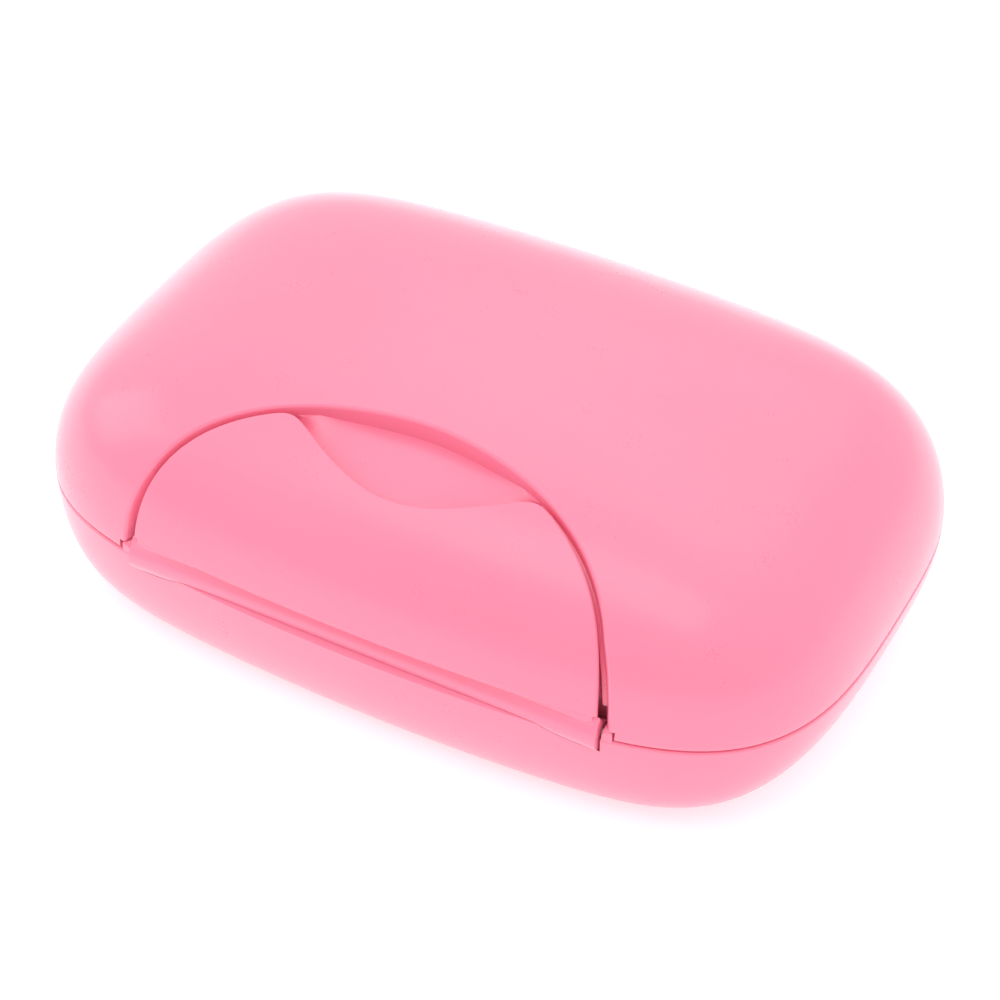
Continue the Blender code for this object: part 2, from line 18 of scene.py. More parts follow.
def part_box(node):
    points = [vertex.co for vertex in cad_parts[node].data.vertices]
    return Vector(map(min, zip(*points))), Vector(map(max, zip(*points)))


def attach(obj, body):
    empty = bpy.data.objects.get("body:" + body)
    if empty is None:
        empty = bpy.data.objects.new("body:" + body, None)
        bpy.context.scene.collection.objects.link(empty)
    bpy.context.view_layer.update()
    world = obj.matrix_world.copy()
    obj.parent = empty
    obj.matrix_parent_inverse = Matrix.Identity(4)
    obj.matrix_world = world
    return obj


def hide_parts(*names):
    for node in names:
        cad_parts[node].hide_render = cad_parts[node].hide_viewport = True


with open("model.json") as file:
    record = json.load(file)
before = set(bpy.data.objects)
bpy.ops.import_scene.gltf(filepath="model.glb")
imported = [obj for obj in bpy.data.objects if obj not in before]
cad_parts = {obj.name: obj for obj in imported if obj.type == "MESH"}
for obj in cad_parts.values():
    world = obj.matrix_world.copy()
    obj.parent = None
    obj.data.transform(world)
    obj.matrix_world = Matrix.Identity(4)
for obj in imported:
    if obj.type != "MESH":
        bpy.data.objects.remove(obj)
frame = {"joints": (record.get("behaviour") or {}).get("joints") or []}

bpy.context.view_layer.update()
LID_LOW, LID_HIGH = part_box("lid_shell")
TRAY_LOW, TRAY_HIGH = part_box("drain_tray")
LID_PIN, CLASP_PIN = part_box("lid_hinge_pin_right"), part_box("clasp_hinge_pin_right")
HINGES = {joint["name"]: joint["pos_m"] for joint in frame["joints"]}
PARTING_Z = HINGES["clasp_hinge"][2]
SIDES = (-1, 1)
PAST = 0.004  # how far a cutter runs past the shape that it cuts
DEEP = 0.0065  # how far a cutter reaches below the outer form
OUTLINE_STEP = 0.0004  # spacing of points along the walls of the clasp and its pocket
EDGE_STEP = 0.00005  # spacing of points that are tried along a rounded edge
LIGHTS = {  # place, width, height and power
    "top_softbox": ((0, -0.3, 0.9), 0.9, 0.5, 1.2),
    "back_softbox": ((0, 0.6, 0.8), 0.9, 0.6, 0.6),
    "left_softbox": ((-0.8, -0.2, 0.45), 0.5, 0.5, 0.7),
}

bl_info = {
    "name": "Travel Soap Box",
    "version": (1, 0, 0),
    "blender": (4, 5, 0),
    "location": "3D View > Sidebar > Soap Box",
    "description": "Dresses the hinged travel soap box over its packed frame",
    "category": "Object",
}


def size(text, value):
    """Length setting in metres."""
    return FloatProperty(description=text, default=value, precision=5, unit="LENGTH")


def share(text, value):
    """Plain number without a unit."""
    return FloatProperty(description=text, default=value, precision=4)


def number(text, value):
    """Whole number of points, rings or pieces."""
    return IntProperty(description=text, default=value)


def turn(text, degrees):
    """Angle setting."""
    return FloatProperty(description=text, default=math.radians(degrees), subtype="ANGLE")


def tint(text, value):
    """Colour setting, linear red, green and blue."""
    return FloatVectorProperty(description=text, default=value, min=0, max=1, subtype="COLOR")


def trio(text, value):
    """Three numbers in one setting."""
    return FloatVectorProperty(description=text, default=value)


class FormSettings(bpy.types.PropertyGroup):
    """Outer form of the closed box."""

    length: size("End to end along X", LID_HIGH.x - LID_LOW.x)
    width: size("Front to back at the parting line", 0.0761)
    lid_height: size("Parting plane to crown", LID_HIGH.z - PARTING_Z)
    base_height: size("Flat bottom to parting plane", PARTING_Z)
    bottom_cut: size("Part of the lower form that the flat bottom cuts off", 0.00075)
    end_bow: share("How much the ends curve", 0.0245)
    side_bow: share("How much the long sides curve", 0.11)
    power_x: share("Squareness of the outline along X", 6.0)
    power_y: share("Squareness of the outline along Y", 3.6)
    lid_square: share("Extra squareness towards the crown", 0.45)
    base_square: share("Extra squareness towards the bottom", 0.63)
    lid_round: trio("Powers of the lid's section", (3.98, 3.51, 1.98))
    base_round: trio("Powers of the base's section", (7.5, 12.5, 1.83))
    wall: size("Thickness of both shells", 0.002)
    columns: number("Points around the form", 288)
    rows: number("Rings in each half of the form", 44)


class RimSettings(bpy.types.PropertyGroup):
    """Meeting rims of the two shells."""

    gap: size("Open line between lid and base", 0.00025)
    edge: size("Radius of the rims' outer edges", 0.00038)
    groove_inset: size("Outline to the middle of the seal groove", 0.003)
    groove_width: size("Width of the seal groove", 0.0018)
    groove_depth: size("Depth of the seal groove", 0.0026)
    land: size("Flat width inside the groove", 0.0009)
    flange: size("Thickness of the base's rim flange", 0.0045)
    bead: size("Height of the lid's rim bead", 0.003)
    slope: size("Height over which a rim runs out into its wall", 0.0035)
    tongue_width: size("Width of the lid's tongue", 0.0011)
    tongue_drop: size("Reach of the tongue below the parting plane", 0.0007)
    seal_width: size("Width of the seal ring", 0.0013)
    seal_rest: size("Groove floor to the underside of the ring", 0.0003)
    dent_run: size("Length over which the rim steps round the clasp hinge", 0.011)
    dent_depth: size("How far the rim steps in behind the clasp hinge", 0.0038)


class ClaspSettings(bpy.types.PropertyGroup):
    """Front clasp and the pocket that it closes into."""

    half_width: size("Middle to foot of the arch", 0.0349)
    root_outset: size("How far in front of the outline the arch is centred", 0.00195)
    reach: size("Height of the arch in plan", 0.0234)
    power: share("Squareness of the arch", 1.81)
    flare_start: size("Distance from the front where the pocket widens", 0.006)
    flare: share("How much the pocket widens at the arch's feet", 0.2)
    gap: size("Open line round the clasp", 0.0006)
    wall: size("Thickness of the flap", 0.0019)
    foot: size("Height of the flap's lower edge above the parting plane", 0.00275)
    pocket: size("Depth of the pocket under the flap", 0.0026)
    pocket_wall: size("Thickness behind the pocket", 0.0017)
    shelf: size("Width of the shelf that stands under the open line", 0.00045)
    shelf_depth: size("Depth of the shelf below the outer form", 0.0016)
    shelf_run: size("Length over which the shelf grows beside the bite", 0.002)
    pad_margin: size("How far the thickened wall reaches past the arch", 0.002)
    scoop: size("Depth of the finger scoop in the middle", 0.0029)
    scoop_half: size("Middle to end of the finger scoop", 0.019)
    scoop_power: share("How fast the scoop runs out at its ends", 3)
    bite_half: size("Middle to end of the finger bite", 0.0175)
    bite_depth: size("Depth of the finger bite in plan", 0.0062)
    bite_inset: size("Front to the flap's upper edge", 0.01675)
    bite_power: share("Roundness of the bite", 1.3)
    corner: size("Rounding where the bite meets the arch", 0.0012)
    edge: size("Radius of the flap's outer edges", 0.0005)
    pocket_edge: size("Radius of the pocket's outer edge", 0.0008)
    lip_radius: size("Radius of the hinge lip's front", 0.0025)
    lip_lower: turn("How far the round front reaches down", 60)
    lip_upper: turn("How far the round front reaches up", 35)
    lip_rise: size("Length of the slope above the round front", 0.002)
    lip_end_gap: size("Arch foot to the end of the lip", 0.0013)
    lip_run: size("Open room round the lip in its trough", 0.00003)
    eye_radius: size("Radius of the lip behind its pin", 0.00145)
    neck_sweep: turn("Steepness of the neck's front", 54)
    neck_root: size("Pin to the lower front of the neck", 0.0026)
    neck_back: size("How far the neck stands in front of its pin", 0.0003)
    neck_inset: size("How far the neck lies below the outer form", 0.0002)
    neck_end: size("How far the neck stops short of the lip's ends", 0.0009)
    foot_edge: size("Radius of the flap's lower outer edge", 0.001)
    neck_top: size("Height of the neck above the parting plane", 0.0036)
    run: size("Open room round moving edges", 0.00035)
    swing: turn("Opening angle of the clasp", 50)
    trough_stop: turn("Where the trough turns into the slope in front of it", 8)
    trough_fall: turn("Fall of the base's rim in front of the trough", 20)
    ear_width: size("Thickness of the base's clasp ears", 0.0014)
    ear_radius: size("Radius of the base's clasp ears", 0.0017)
    ear_step: size("How far the ears stand back from trough and outside", 0.0001)
    catch_half: size("Half length of the catch bead", 0.006)
    catch_radius: size("Radius of the catch bead", 0.0006)
    catch_depth: size("Depth of the bead's middle below the outer form", 0.0024)
    catch_height: size("Height of the catch above the parting plane", 0.0097)
    catch_room: size("Open room round the catch bead", 0.0003)
    patch_left: turn("Turn at which the fine patch of the form starts", 214)
    patch_right: turn("Turn at which the fine patch of the form ends", 326)
    patch_low: turn("Lowest rise of the fine patch", -12)
    patch_high: turn("Highest rise of the fine patch", 74)
    patch_columns: number("Points along the fine patch", 260)
    patch_rows: number("Points up the fine patch", 130)


class HingeSettings(bpy.types.PropertyGroup):
    """Rear hinge and the four pins."""

    seat_gap: size("Open room between touching pieces", 0.0003)
    axis_outset: size("Outline to the lid hinge's pin", 0.00135)
    knuckle_radius: size("Outer radius of the hinge knuckles", 0.0022)
    station: size("Middle of the box to the middle of a hinge", 0.016)
    lid_knuckle: size("Width of the lid's knuckle", 0.006)
    base_knuckle: size("Width of each of the base's knuckles", 0.004)
    web_reach: size("Pin to the root of a knuckle's web", 0.0033)
    web_height: size("Thickness of a knuckle's web", 0.002)
    flat_step: size("How far a knuckle's flat stands back from its rim", 0.00005)
    knuckle_edge: size("Radius of the knuckles' end edges", 0.0003)
    pin_room: size("Open room round the pins", 0.0002)
    pin_edge: size("Radius of the pins' end edges", 0.00022)


class TraySettings(bpy.types.PropertyGroup):
    """Slotted drain tray."""

    thickness: size("Thickness of the plate", 0.0016)
    leg: size("Length of the legs", 0.0029)
    leg_radius: size("Radius of the legs", 0.0016)
    leg_along: share("Place of the outer legs along the tray", 0.62)
    leg_across: share("Place of the legs across the tray", 0.7)
    border: size("Width of the raised border", 0.0016)
    slot_width: size("Width of a drain slot", 0.003)
    slot_side: size("Tray edge to the end of a slot", 0.0106)
    slot_end: size("Tray end to the middle of the last slot", 0.0128)
    slots: number("Number of drain slots", 9)
    columns: number("Points around the plate", 240)
    edge: size("Radius of the moulded edges", 0.00028)


class FinishSettings(bpy.types.PropertyGroup):
    """Colours of the mouldings and the pins."""

    shell: tint("Satin pink of the shells and the clasp", (0.98, 0.235, 0.365))
    deep: tint("Slightly deeper pink in the moulding's flow", (0.975, 0.22, 0.35))
    tray: tint("Paler pink of the drain tray", (0.95, 0.56, 0.65))
    silicone: tint("Milky white of the seal ring", (0.82, 0.82, 0.80))
    steel: tint("Bare steel of the hinge pins", (0.60, 0.60, 0.62))
    flow_marks: share("Flow marks in a metre of a moulding", 22)
    flow_stretch: trio("Flow marks along each axis, as shares of them", (1, 1.6, 1.6))
    flow_from: share("Level of the flow at which the deeper colour sets in", 0.35)
    satin_marks: share("Satin patches in a metre of a moulding", 160)
    satin_patchy: share("Unevenness of the satin in patches", 0.10)
    satin_fine: share("Unevenness of the satin in the grain", 0.08)


class StageSettings(bpy.types.PropertyGroup):
    """Camera, floor and lights."""

    azimuth: turn("Camera's turn round the box from the front", 28.566)
    elevation: turn("Camera's height above the horizon", 41.687)
    distance: size("Camera to the middle of the parting plane", 0.3713)
    lens: share("Focal length in millimetres", 100.55)
    shift_x: share("Sideways shift of the picture", 0.0043)
    shift_y: share("Upward shift of the picture", -0.0253)
    sensor: share("Sensor width in millimetres", 36)
    aim: size("Height above the floor that the lights aim at", 0.02)
    room: share("Light of the white room", 0.94)
    room_top: share("Extra light of the room straight overhead", 0.3)
    room_front: share("Light that the room lacks straight ahead", 0.16)
    floor_reach: size("Middle of the floor to its edge", 3)
    glow: share("Light that comes through the white floor", 0.5)
    floor: tint("Plain pale floor", (0.72, 0.72, 0.72))


GROUPS = {
    "soapbox_form": FormSettings,
    "soapbox_rim": RimSettings,
    "soapbox_clasp": ClaspSettings,
    "soapbox_hinge": HingeSettings,
    "soapbox_tray": TraySettings,
    "soapbox_finish": FinishSettings,
    "soapbox_stage": StageSettings,
}


def settings(name):
    """One group of settings on the scene."""
    return getattr(bpy.context.scene, "soapbox_" + name)


class Graph:
    """Adds nodes to one node tree."""

    def __init__(self, tree):
        self.tree = tree

    def feed(self, node, sockets):
        """Give a node's sockets their values or links."""
        for key, value in sockets.items():
            value = value.socket if isinstance(value, Term) else value
            if isinstance(value, bpy.types.NodeSocket):
                self.tree.links.new(value, node.inputs[key])
            else:
                node.inputs[key].default_value = value

    def add(self, kind, sockets=None, output=0, **options):
        """Add a node, set its options first, and return one of its outputs."""
        node = self.tree.nodes.new(kind)
        for name, value in options.items():
            setattr(node, name, value)
        self.feed(node, sockets or {})
        return node.outputs[output]

    def axes(self, vector):
        """X, Y and Z of a vector, ready for sums."""
        split = self.tree.nodes.new("ShaderNodeSeparateXYZ")
        self.feed(split, {0: vector})
        return [Term(self, output) for output in split.outputs]

    def vector(self, x=0, y=0, z=0):
        """Vector made of three numbers."""
        return self.add("ShaderNodeCombineXYZ", {"X": x, "Y": y, "Z": z})

    def placed(self, geometry, x, y, z=0):
        """Geometry with each of its points set to a new place."""
        return self.add("GeometryNodeSetPosition",
                        {"Geometry": geometry, "Position": self.vector(x, y, z)})

    def raised(self, geometry, height):
        """Geometry moved up."""
        return self.add("GeometryNodeTransform",
                        {"Geometry": geometry, "Translation": self.vector(z=height)})


class Term:
    """Number socket of a graph; a sum written with it adds Math nodes."""

    def __init__(self, graph, socket):
        self.graph = graph
        self.socket = socket

    def math(self, operation, *others):
        """Math node on this term and others."""
        return math_term(self.graph, operation, self, *others)

    def __add__(self, other):
        return self.math("ADD", other)

    def __sub__(self, other):
        return self.math("SUBTRACT", other)

    def __rsub__(self, other):
        return (self * -1) + other

    def __mul__(self, other):
        return self.math("MULTIPLY", other)

    def __truediv__(self, other):
        return self.math("DIVIDE", other)

    def __rtruediv__(self, other):
        return math_term(self.graph, "DIVIDE", other, self)

    def __pow__(self, other):
        return self.math("POWER", other)

    def __gt__(self, other):
        return self.math("GREATER_THAN", other)

    __radd__, __rmul__ = __add__, __mul__


def math_term(graph, operation, *numbers):
    """Math node on some numbers and terms."""
    return Term(graph, graph.add("ShaderNodeMath", dict(enumerate(numbers)),
                                 operation=operation))


def new_tree(name, inputs):
    """Geometry tree with named inputs; returns its graph and its inputs as terms."""
    tree = bpy.data.node_groups.new(name, "GeometryNodeTree")
    for label, (kind, value) in inputs.items():
        item = tree.interface.new_socket(label, in_out="INPUT", socket_type="NodeSocket" + kind)
        if value is not None:
            item.default_value = value
    tree.interface.new_socket("Geometry", in_out="OUTPUT", socket_type="NodeSocketGeometry")
    entry, graph = tree.nodes.new("NodeGroupInput"), Graph(tree)
    return graph, {label: Term(graph, entry.outputs[label]) for label in inputs}


def end_tree(graph, geometry, material):
    """Close a geometry tree with real geometry and a material."""
    real = graph.add("GeometryNodeRealizeInstances", {0: geometry})
    coat = graph.add("GeometryNodeSetMaterial", {0: real, "Material": material})
    graph.feed(graph.tree.nodes.new("NodeGroupOutput"), {0: coat})
    return graph.tree


def run_tree(name, tree, values, mesh=None):
    """Evaluate a geometry tree into an object with a plain mesh."""
    item = link(bpy.data.objects.new(name, mesh or bpy.data.meshes.new(name)))
    step = item.modifiers.new(tree.name, "NODES")
    step.node_group = tree
    for entry in tree.interface.items_tree:
        if entry.in_out == "INPUT" and entry.name in values:
            step[entry.identifier] = values[entry.name]
    bake(item)
    return item


def link(item):
    """Put an object in the scene."""
    bpy.context.scene.collection.objects.link(item)
    return item


def bake(item):
    """Turn an object's modifiers into its plain mesh."""
    graph = bpy.context.evaluated_depsgraph_get()
    mesh = bpy.data.meshes.new_from_object(item.evaluated_get(graph))
    old = item.data
    item.modifiers.clear()
    item.data = mesh
    mesh.name = item.name
    bpy.data.meshes.remove(old)


def drop(item):
    """Remove a helper object and its mesh."""
    mesh = item.data
    bpy.data.objects.remove(item)
    bpy.data.meshes.remove(mesh)


def combine(item, operation, *tools):
    """Apply exact Booleans to an object and drop the tools."""
    for tool in tools:
        step = item.modifiers.new(operation, "BOOLEAN")
        step.operation = operation
        step.solver = "EXACT"
        step.object = tool
    bake(item)
    for tool in tools:
        drop(tool)
    return item


# Pebble form


def bowed(given, turn_cos, turn_sin, power_x, power_y, rounds=5):
    """Point of the squarish outline with bowed sides, in the direction of an angle. Each side's
    bow depends on the other, so both are found in a few rounds."""
    along, across = turn_cos.math("ABSOLUTE"), turn_sin.math("ABSOLUTE")
    total = along ** power_x + across ** power_y
    straight_u, straight_v = along / total ** (1 / power_x), across / total ** (1 / power_y)
    u, v = straight_u, straight_v
    for _ in range(rounds):
        u = straight_u * (1 - given["End Bow"] * v * v)
        v = straight_v * (1 - given["Side Bow"] * u * u)
    return u * turn_cos.math("SIGN"), v * turn_sin.math("SIGN")


def pebble_tree(material):
    """Tree that bends a flat grid into a patch of the pebble form."""
    names = ["Half Length", "Half Width", "Lid Reach", "Base Reach", "End Bow", "Side Bow",
             "Power X", "Power Y", "Lid Square", "Base Square", "First Turn", "Last Turn",
             "First Rise", "Last Rise"]
    for half in ("Lid", "Base"):
        names += [f"{half} Round {axis}" for axis in "XYZ"]
    inputs = {name: ("Float", 1.0) for name in names}
    inputs.update({"Columns": ("Int", 9), "Rows": ("Int", 9)})
    graph, given = new_tree("Pebble Form", inputs)
    grid = graph.add("GeometryNodeMeshGrid", {"Size X": 1, "Size Y": 1,
                                              "Vertices X": given["Columns"],
                                              "Vertices Y": given["Rows"]})
    place = graph.axes(graph.add("GeometryNodeInputPosition"))
    along, up = place[0] + 0.5, place[1] + 0.5
    turn_at = given["First Turn"] + along * (given["Last Turn"] - given["First Turn"])
    rise_at = given["First Rise"] + up * (given["Last Rise"] - given["First Rise"])
    above = rise_at > 0

    def pick(label):
        return given["Base " + label] + above * (given["Lid " + label] - given["Base " + label])

    round_x, round_y, round_z = (pick("Round " + axis) for axis in "XYZ")
    ring_power = (round_x + round_y) * 0.5
    rise_cos = rise_at.math("COSINE").math("ABSOLUTE")
    rise_sin = rise_at.math("SINE").math("ABSOLUTE")
    total = rise_cos ** ring_power + rise_sin ** round_z
    level = rise_cos ** ring_power / total
    height = rise_sin / total ** (1 / round_z)
    square = 1 + pick("Square") * height * height
    turn_cos, turn_sin = turn_at.math("COSINE"), turn_at.math("SINE")
    u, v = bowed(given, turn_cos, turn_sin, given["Power X"] * square,
                 given["Power Y"] * square)
    x = given["Half Length"] * level ** (1 / round_x) * u
    y = given["Half Width"] * level ** (1 / round_y) * v
    z = pick("Reach") * height * rise_at.math("SIGN")
    return end_tree(graph, graph.placed(grid, x, y, z), material)


def pebble_values():
    """Sizes that the pebble tree takes from the settings."""
    form = settings("form")
    values = {"Half Length": form.length / 2, "Half Width": form.width / 2,
              "Lid Reach": form.lid_height, "Base Reach": form.base_height + form.bottom_cut,
              "End Bow": form.end_bow, "Side Bow": form.side_bow,
              "Power X": form.power_x, "Power Y": form.power_y,
              "Lid Square": form.lid_square, "Base Square": form.base_square}
    for half, shares in (("Lid", form.lid_round), ("Base", form.base_round)):
        values.update({f"{half} Round {axis}": power for axis, power in zip("XYZ", shares)})
    return values


class Patch:
    """Grid of points of the pebble form, column by column, with outward normals."""

    def __init__(self, turns, rises):
        """Read a patch between two turns and two rises, each given with its count."""
        values = pebble_values()
        values.update({"First Turn": turns[0], "Last Turn": turns[1], "Columns": turns[2],
                       "First Rise": rises[0], "Last Rise": rises[1], "Rows": rises[2]})
        item = run_tree("pebble_patch", bpy.data.node_groups["Pebble Form"], values)
        spots = np.empty(len(item.data.vertices) * 3)
        item.data.vertices.foreach_get("co", spots)
        drop(item)
        self.spots = spots.reshape(turns[2], rises[2], 3)
        self.looped = turns[1] - turns[0] > math.tau * 0.9
        self.normals = self.find_normals()

    def find_normals(self):
        """Outward normals from the slopes of the grid."""
        if self.looped:
            around = np.roll(self.spots, -1, axis=0) - np.roll(self.spots, 1, axis=0)
        else:
            around = np.gradient(self.spots, axis=0, edge_order=2)
        along = np.gradient(self.spots, axis=1, edge_order=2)
        normals = np.cross(around, along)
        lengths = np.linalg.norm(normals, axis=2)
        poles = lengths < lengths.max() * 1e-4
        normals[poles] = (0, 0, 1)
        lengths[poles] = 1
        normals /= lengths[:, :, None]
        normals[:, :, 2][poles] = np.sign(self.spots[:, :, 2][poles])
        return normals

    def inset(self, depth):
        """Grid moved inward by one depth, or by a grid of depths."""
        depth = np.asarray(depth)
        return self.spots - self.normals * (depth[:, :, None] if depth.ndim else depth)


class Guide:
    """Finds heights and normals of a surface that was read as a patch."""

    def __init__(self, patch):
        columns, rows = patch.spots.shape[:2]
        self.spots = [Vector(spot) for spot in patch.spots.reshape(-1, 3)]
        self.normals = patch.normals.reshape(-1, 3)
        last = columns if patch.looped else columns - 1
        self.cells = [(c * rows + r, (c + 1) % columns * rows + r,
                       (c + 1) % columns * rows + r + 1, c * rows + r + 1)
                      for c in range(last) for r in range(rows - 1)]
        self.tree = BVHTree.FromPolygons(self.spots, self.cells)

    def normal(self, spot, cell):
        """Smooth normal at a spot of one cell."""
        corners = self.cells[cell]
        weights = poly_3d_calc([self.spots[i] for i in corners], spot)
        normal = sum(self.normals[i] * w for i, w in zip(corners, weights))
        return Vector(normal).normalized()

    def above(self, x, y):
        """Spot and normal of the surface straight below a high point, or None."""
        spot, _, cell, _ = self.tree.ray_cast(Vector((x, y, 1)), Vector((0, 0, -1)))
        return None if spot is None else (spot, self.normal(spot, cell))

    def near(self, spot, reach):
        """Normal of the surface where it passes a spot, or None."""
        found, _, cell, _ = self.tree.find_nearest(spot, reach)
        return None if found is None else self.normal(found, cell)


def quality(count):
    return count


def half_form(upper):
    """Closed ring patch of the form above or below the parting plane."""
    form = settings("form")
    columns, rows = quality(form.columns), quality(form.rows)
    turns = (0, math.tau * (1 - 1 / columns), columns)
    rises = (0, math.pi / 2, rows) if upper else (-bottom_rise(), 0, rows)
    return Patch(turns, rises)


def crossing(low, high, before, steps=40):
    """Narrow a range round the place up to which a test holds."""
    for _ in range(steps):
        middle = (low + high) / 2
        low, high = (middle, high) if before(middle) else (low, middle)
    return low, high


def bottom_rise():
    """Rise, below the parting plane, at which the form meets the flat bottom."""
    form = settings("form")
    round_x, round_y, round_z = form.base_round
    power = (round_x + round_y) / 2
    wanted = form.base_height / (form.base_height + form.bottom_cut)

    def short_of_bottom(rise):
        total = math.cos(rise) ** power + math.sin(rise) ** round_z
        return math.sin(rise) / total ** (1 / round_z) < wanted

    return crossing(0, math.pi / 2, short_of_bottom)[0]


def front_patch():
    """Fine patch of the form round the clasp."""
    clasp = settings("clasp")
    return Patch((clasp.patch_left, clasp.patch_right, quality(clasp.patch_columns)),
                 (clasp.patch_low, clasp.patch_high, quality(clasp.patch_rows)))


# Mesh helpers


def skin(name, rows, closed_rows=False):
    """Mesh over a stack of rings; the first and last close on a point or a flat face."""
    rows = [np.asarray(row, dtype=float) for row in rows]
    count = len(rows[0])
    tips = [not closed_rows and np.ptp(row, axis=0).max() < 1e-7 for row in rows]
    verts, starts = [], []
    for row, tip in zip(rows, tips):
        starts.append(len(verts))
        verts.extend([row.mean(axis=0)] if tip else row)
    faces = []
    pairs = list(zip(range(len(rows)), range(1, len(rows))))
    if closed_rows:
        pairs.append((len(rows) - 1, 0))
    for lower, upper in pairs:
        a, b = starts[lower], starts[upper]
        for i in range(count):
            j = (i + 1) % count
            if tips[lower]:
                faces.append((a, b + j, b + i))
            elif tips[upper]:
                faces.append((a + i, a + j, b))
            else:
                faces.append((a + i, a + j, b + j, b + i))
    if not closed_rows and not tips[0]:
        faces.append(tuple(range(count))[::-1])
    if not closed_rows and not tips[-1]:
        faces.append(tuple(range(starts[-1], starts[-1] + count)))
    return solid(name, verts, faces)


def solid(name, verts, faces):
    """Linked object whose closed mesh faces outward."""
    mesh = bpy.data.meshes.new(name)
    mesh.from_pydata([tuple(vert) for vert in verts], [], faces)
    if signed_volume(mesh) < 0:
        mesh.flip_normals()
    return link(bpy.data.objects.new(name, mesh))


def signed_volume(mesh):
    """Volume that a closed mesh encloses, negative when it is inside out."""
    mesh.calc_loop_triangles()
    verts = np.empty(len(mesh.vertices) * 3)
    mesh.vertices.foreach_get("co", verts)
    corners = np.empty(len(mesh.loop_triangles) * 3, dtype=int)
    mesh.loop_triangles.foreach_get("vertices", corners)
    a, b, c = verts.reshape(-1, 3)[corners].reshape(-1, 3, 3).transpose(1, 0, 2)
    return float((a * np.cross(b, c)).sum() / 6)


def slab(name, outer, inner):
    """Solid between two grids of the same size."""
    columns, rows = outer.shape[:2]
    verts = np.concatenate([outer.reshape(-1, 3), inner.reshape(-1, 3)])
    shift = columns * rows
    faces = []
    for c in range(columns - 1):
        for r in range(rows - 1):
            cell = (c * rows + r, (c + 1) * rows + r, (c + 1) * rows + r + 1, c * rows + r + 1)
            faces.append(cell)
            faces.append(tuple(i + shift for i in cell[::-1]))
    edge = [c * rows for c in range(columns)]
    edge += [(columns - 1) * rows + r for r in range(1, rows)]
    edge += [c * rows + rows - 1 for c in range(columns - 2, -1, -1)]
    edge += [r for r in range(rows - 2, 0, -1)]
    for i, j in zip(edge, edge[1:] + edge[:1]):
        faces.append((j, i, i + shift, j + shift))
    return solid(name, verts, faces)


def front_prism(name, path, low):
    """Solid over a path in plan, closed in front of the box and above its crown."""
    front, high = outer_room()
    outline = [(path[0][0], front), *map(tuple, path), (path[-1][0], front)]
    return skin(name, [[(x, y, z) for x, y in outline] for z in (low, high)])


def outer_room():
    """Y in front of the box and Z above its crown, in the body's own frame."""
    form = settings("form")
    in_front, above = 1.15, 1.3
    return -form.width / 2 * in_front, form.lid_height * above


def eased(corners, steps=4):
    """Points along a run of (inset, height, radius) corners, each rounded to its radius."""
    points = [tuple(corners[0][:2])]
    for before, here, after in zip(corners, corners[1:], corners[2:]):
        tip = Vector(here[:2])
        if not here[2]:
            points.append(tuple(tip))
            continue
        back = (Vector(before[:2]) - tip).normalized()
        ahead = (Vector(after[:2]) - tip).normalized()
        half = back.angle(ahead) / 2
        centre = tip + (back + ahead).normalized() * here[2] / math.sin(half)
        reach = here[2] / math.tan(half)
        first = (tip + back * reach - centre).normalized()
        last = (tip + ahead * reach - centre).normalized()
        points += [tuple(centre + first.slerp(last, step / steps) * here[2])
                   for step in range(steps + 1)]
    return points + [tuple(corners[-1][:2])]


def bar(name, outline, left, right, ease=0):
    """Closed (y, z) outline run along X, with rounded edges."""
    item = skin(name, [[(x, y, z) for y, z in outline] for x in (left, right)])
    if ease:
        round_edges(item, ease, 3)
        bake(item)
    return item


def round_edges(item, radius, segments, angle=math.radians(50)):
    """Add a modifier that rounds every edge sharper than an angle."""
    step = item.modifiers.new("rounded_edges", "BEVEL")
    step.width, step.segments = radius, segments
    step.limit_method, step.angle_limit = "ANGLE", angle


def circle(y, z, radius, count=64):
    """Round (y, z) outline with no point level with its middle."""
    half_step = math.pi / count
    return arc(y, z, radius, half_step, math.tau - half_step, count - 1)


def arc(y, z, radius, start, stop, count):
    """Points of an arc; angle 0 points to the front and rises with the angle."""
    angles = [start + (stop - start) * step / count for step in range(count + 1)]
    return [(y - radius * math.cos(a), z + radius * math.sin(a)) for a in angles]


def rod(name, left, right, y, z, radius, ease=0):
    """Round bar along X."""
    return bar(name, circle(y, z, radius), left, right, ease)


def edge_cutter(name, spots, firsts, seconds, radius, steps=8):
    """Cutter that rounds the edge along some spots, where surfaces with two normals meet.
    Its round runs out of both surfaces by a slack angle, so that no face grazes them."""
    slack, end_share, peak_share = math.radians(14), 0.35, 0.9
    rows = []
    for spot, first, second in zip(spots, firsts, seconds):
        spread = first.angle(second)
        reach = radius * math.cos(slack) / (1 + first.dot(second))
        centre = spot - (first + second) * reach
        outer = spot + (first + second).normalized() * radius * peak_share
        start, stop = slack * end_share, spread - slack * end_share
        angles = [start + (stop - start) * step / steps for step in range(steps + 1)]
        rows.append([centre + first.slerp(second, angle / spread) * radius for angle in angles]
                    + [outer])
    return skin(name, rows)


# Outlines of the clasp and its pocket


def arch(grow=0, flare=0, count=1200):
    """Arch in plan from its right foot to its left, grown outward."""
    clasp, half_width = settings("clasp"), settings("form").width / 2
    angles = np.linspace(0, math.pi, count)
    power = 2 / clasp.power
    x = clasp.half_width * np.sign(np.cos(angles)) * np.abs(np.cos(angles)) ** power
    y = clasp.reach * np.abs(np.sin(angles)) ** power - half_width - clasp.root_outset
    spots = np.stack([x, y], axis=1)
    spots += side_normals(spots) * grow
    below = np.maximum(clasp.flare_start - half_width - spots[:, 1], 0)
    spots[:, 0] += np.sign(spots[:, 0]) * flare * below
    return spots


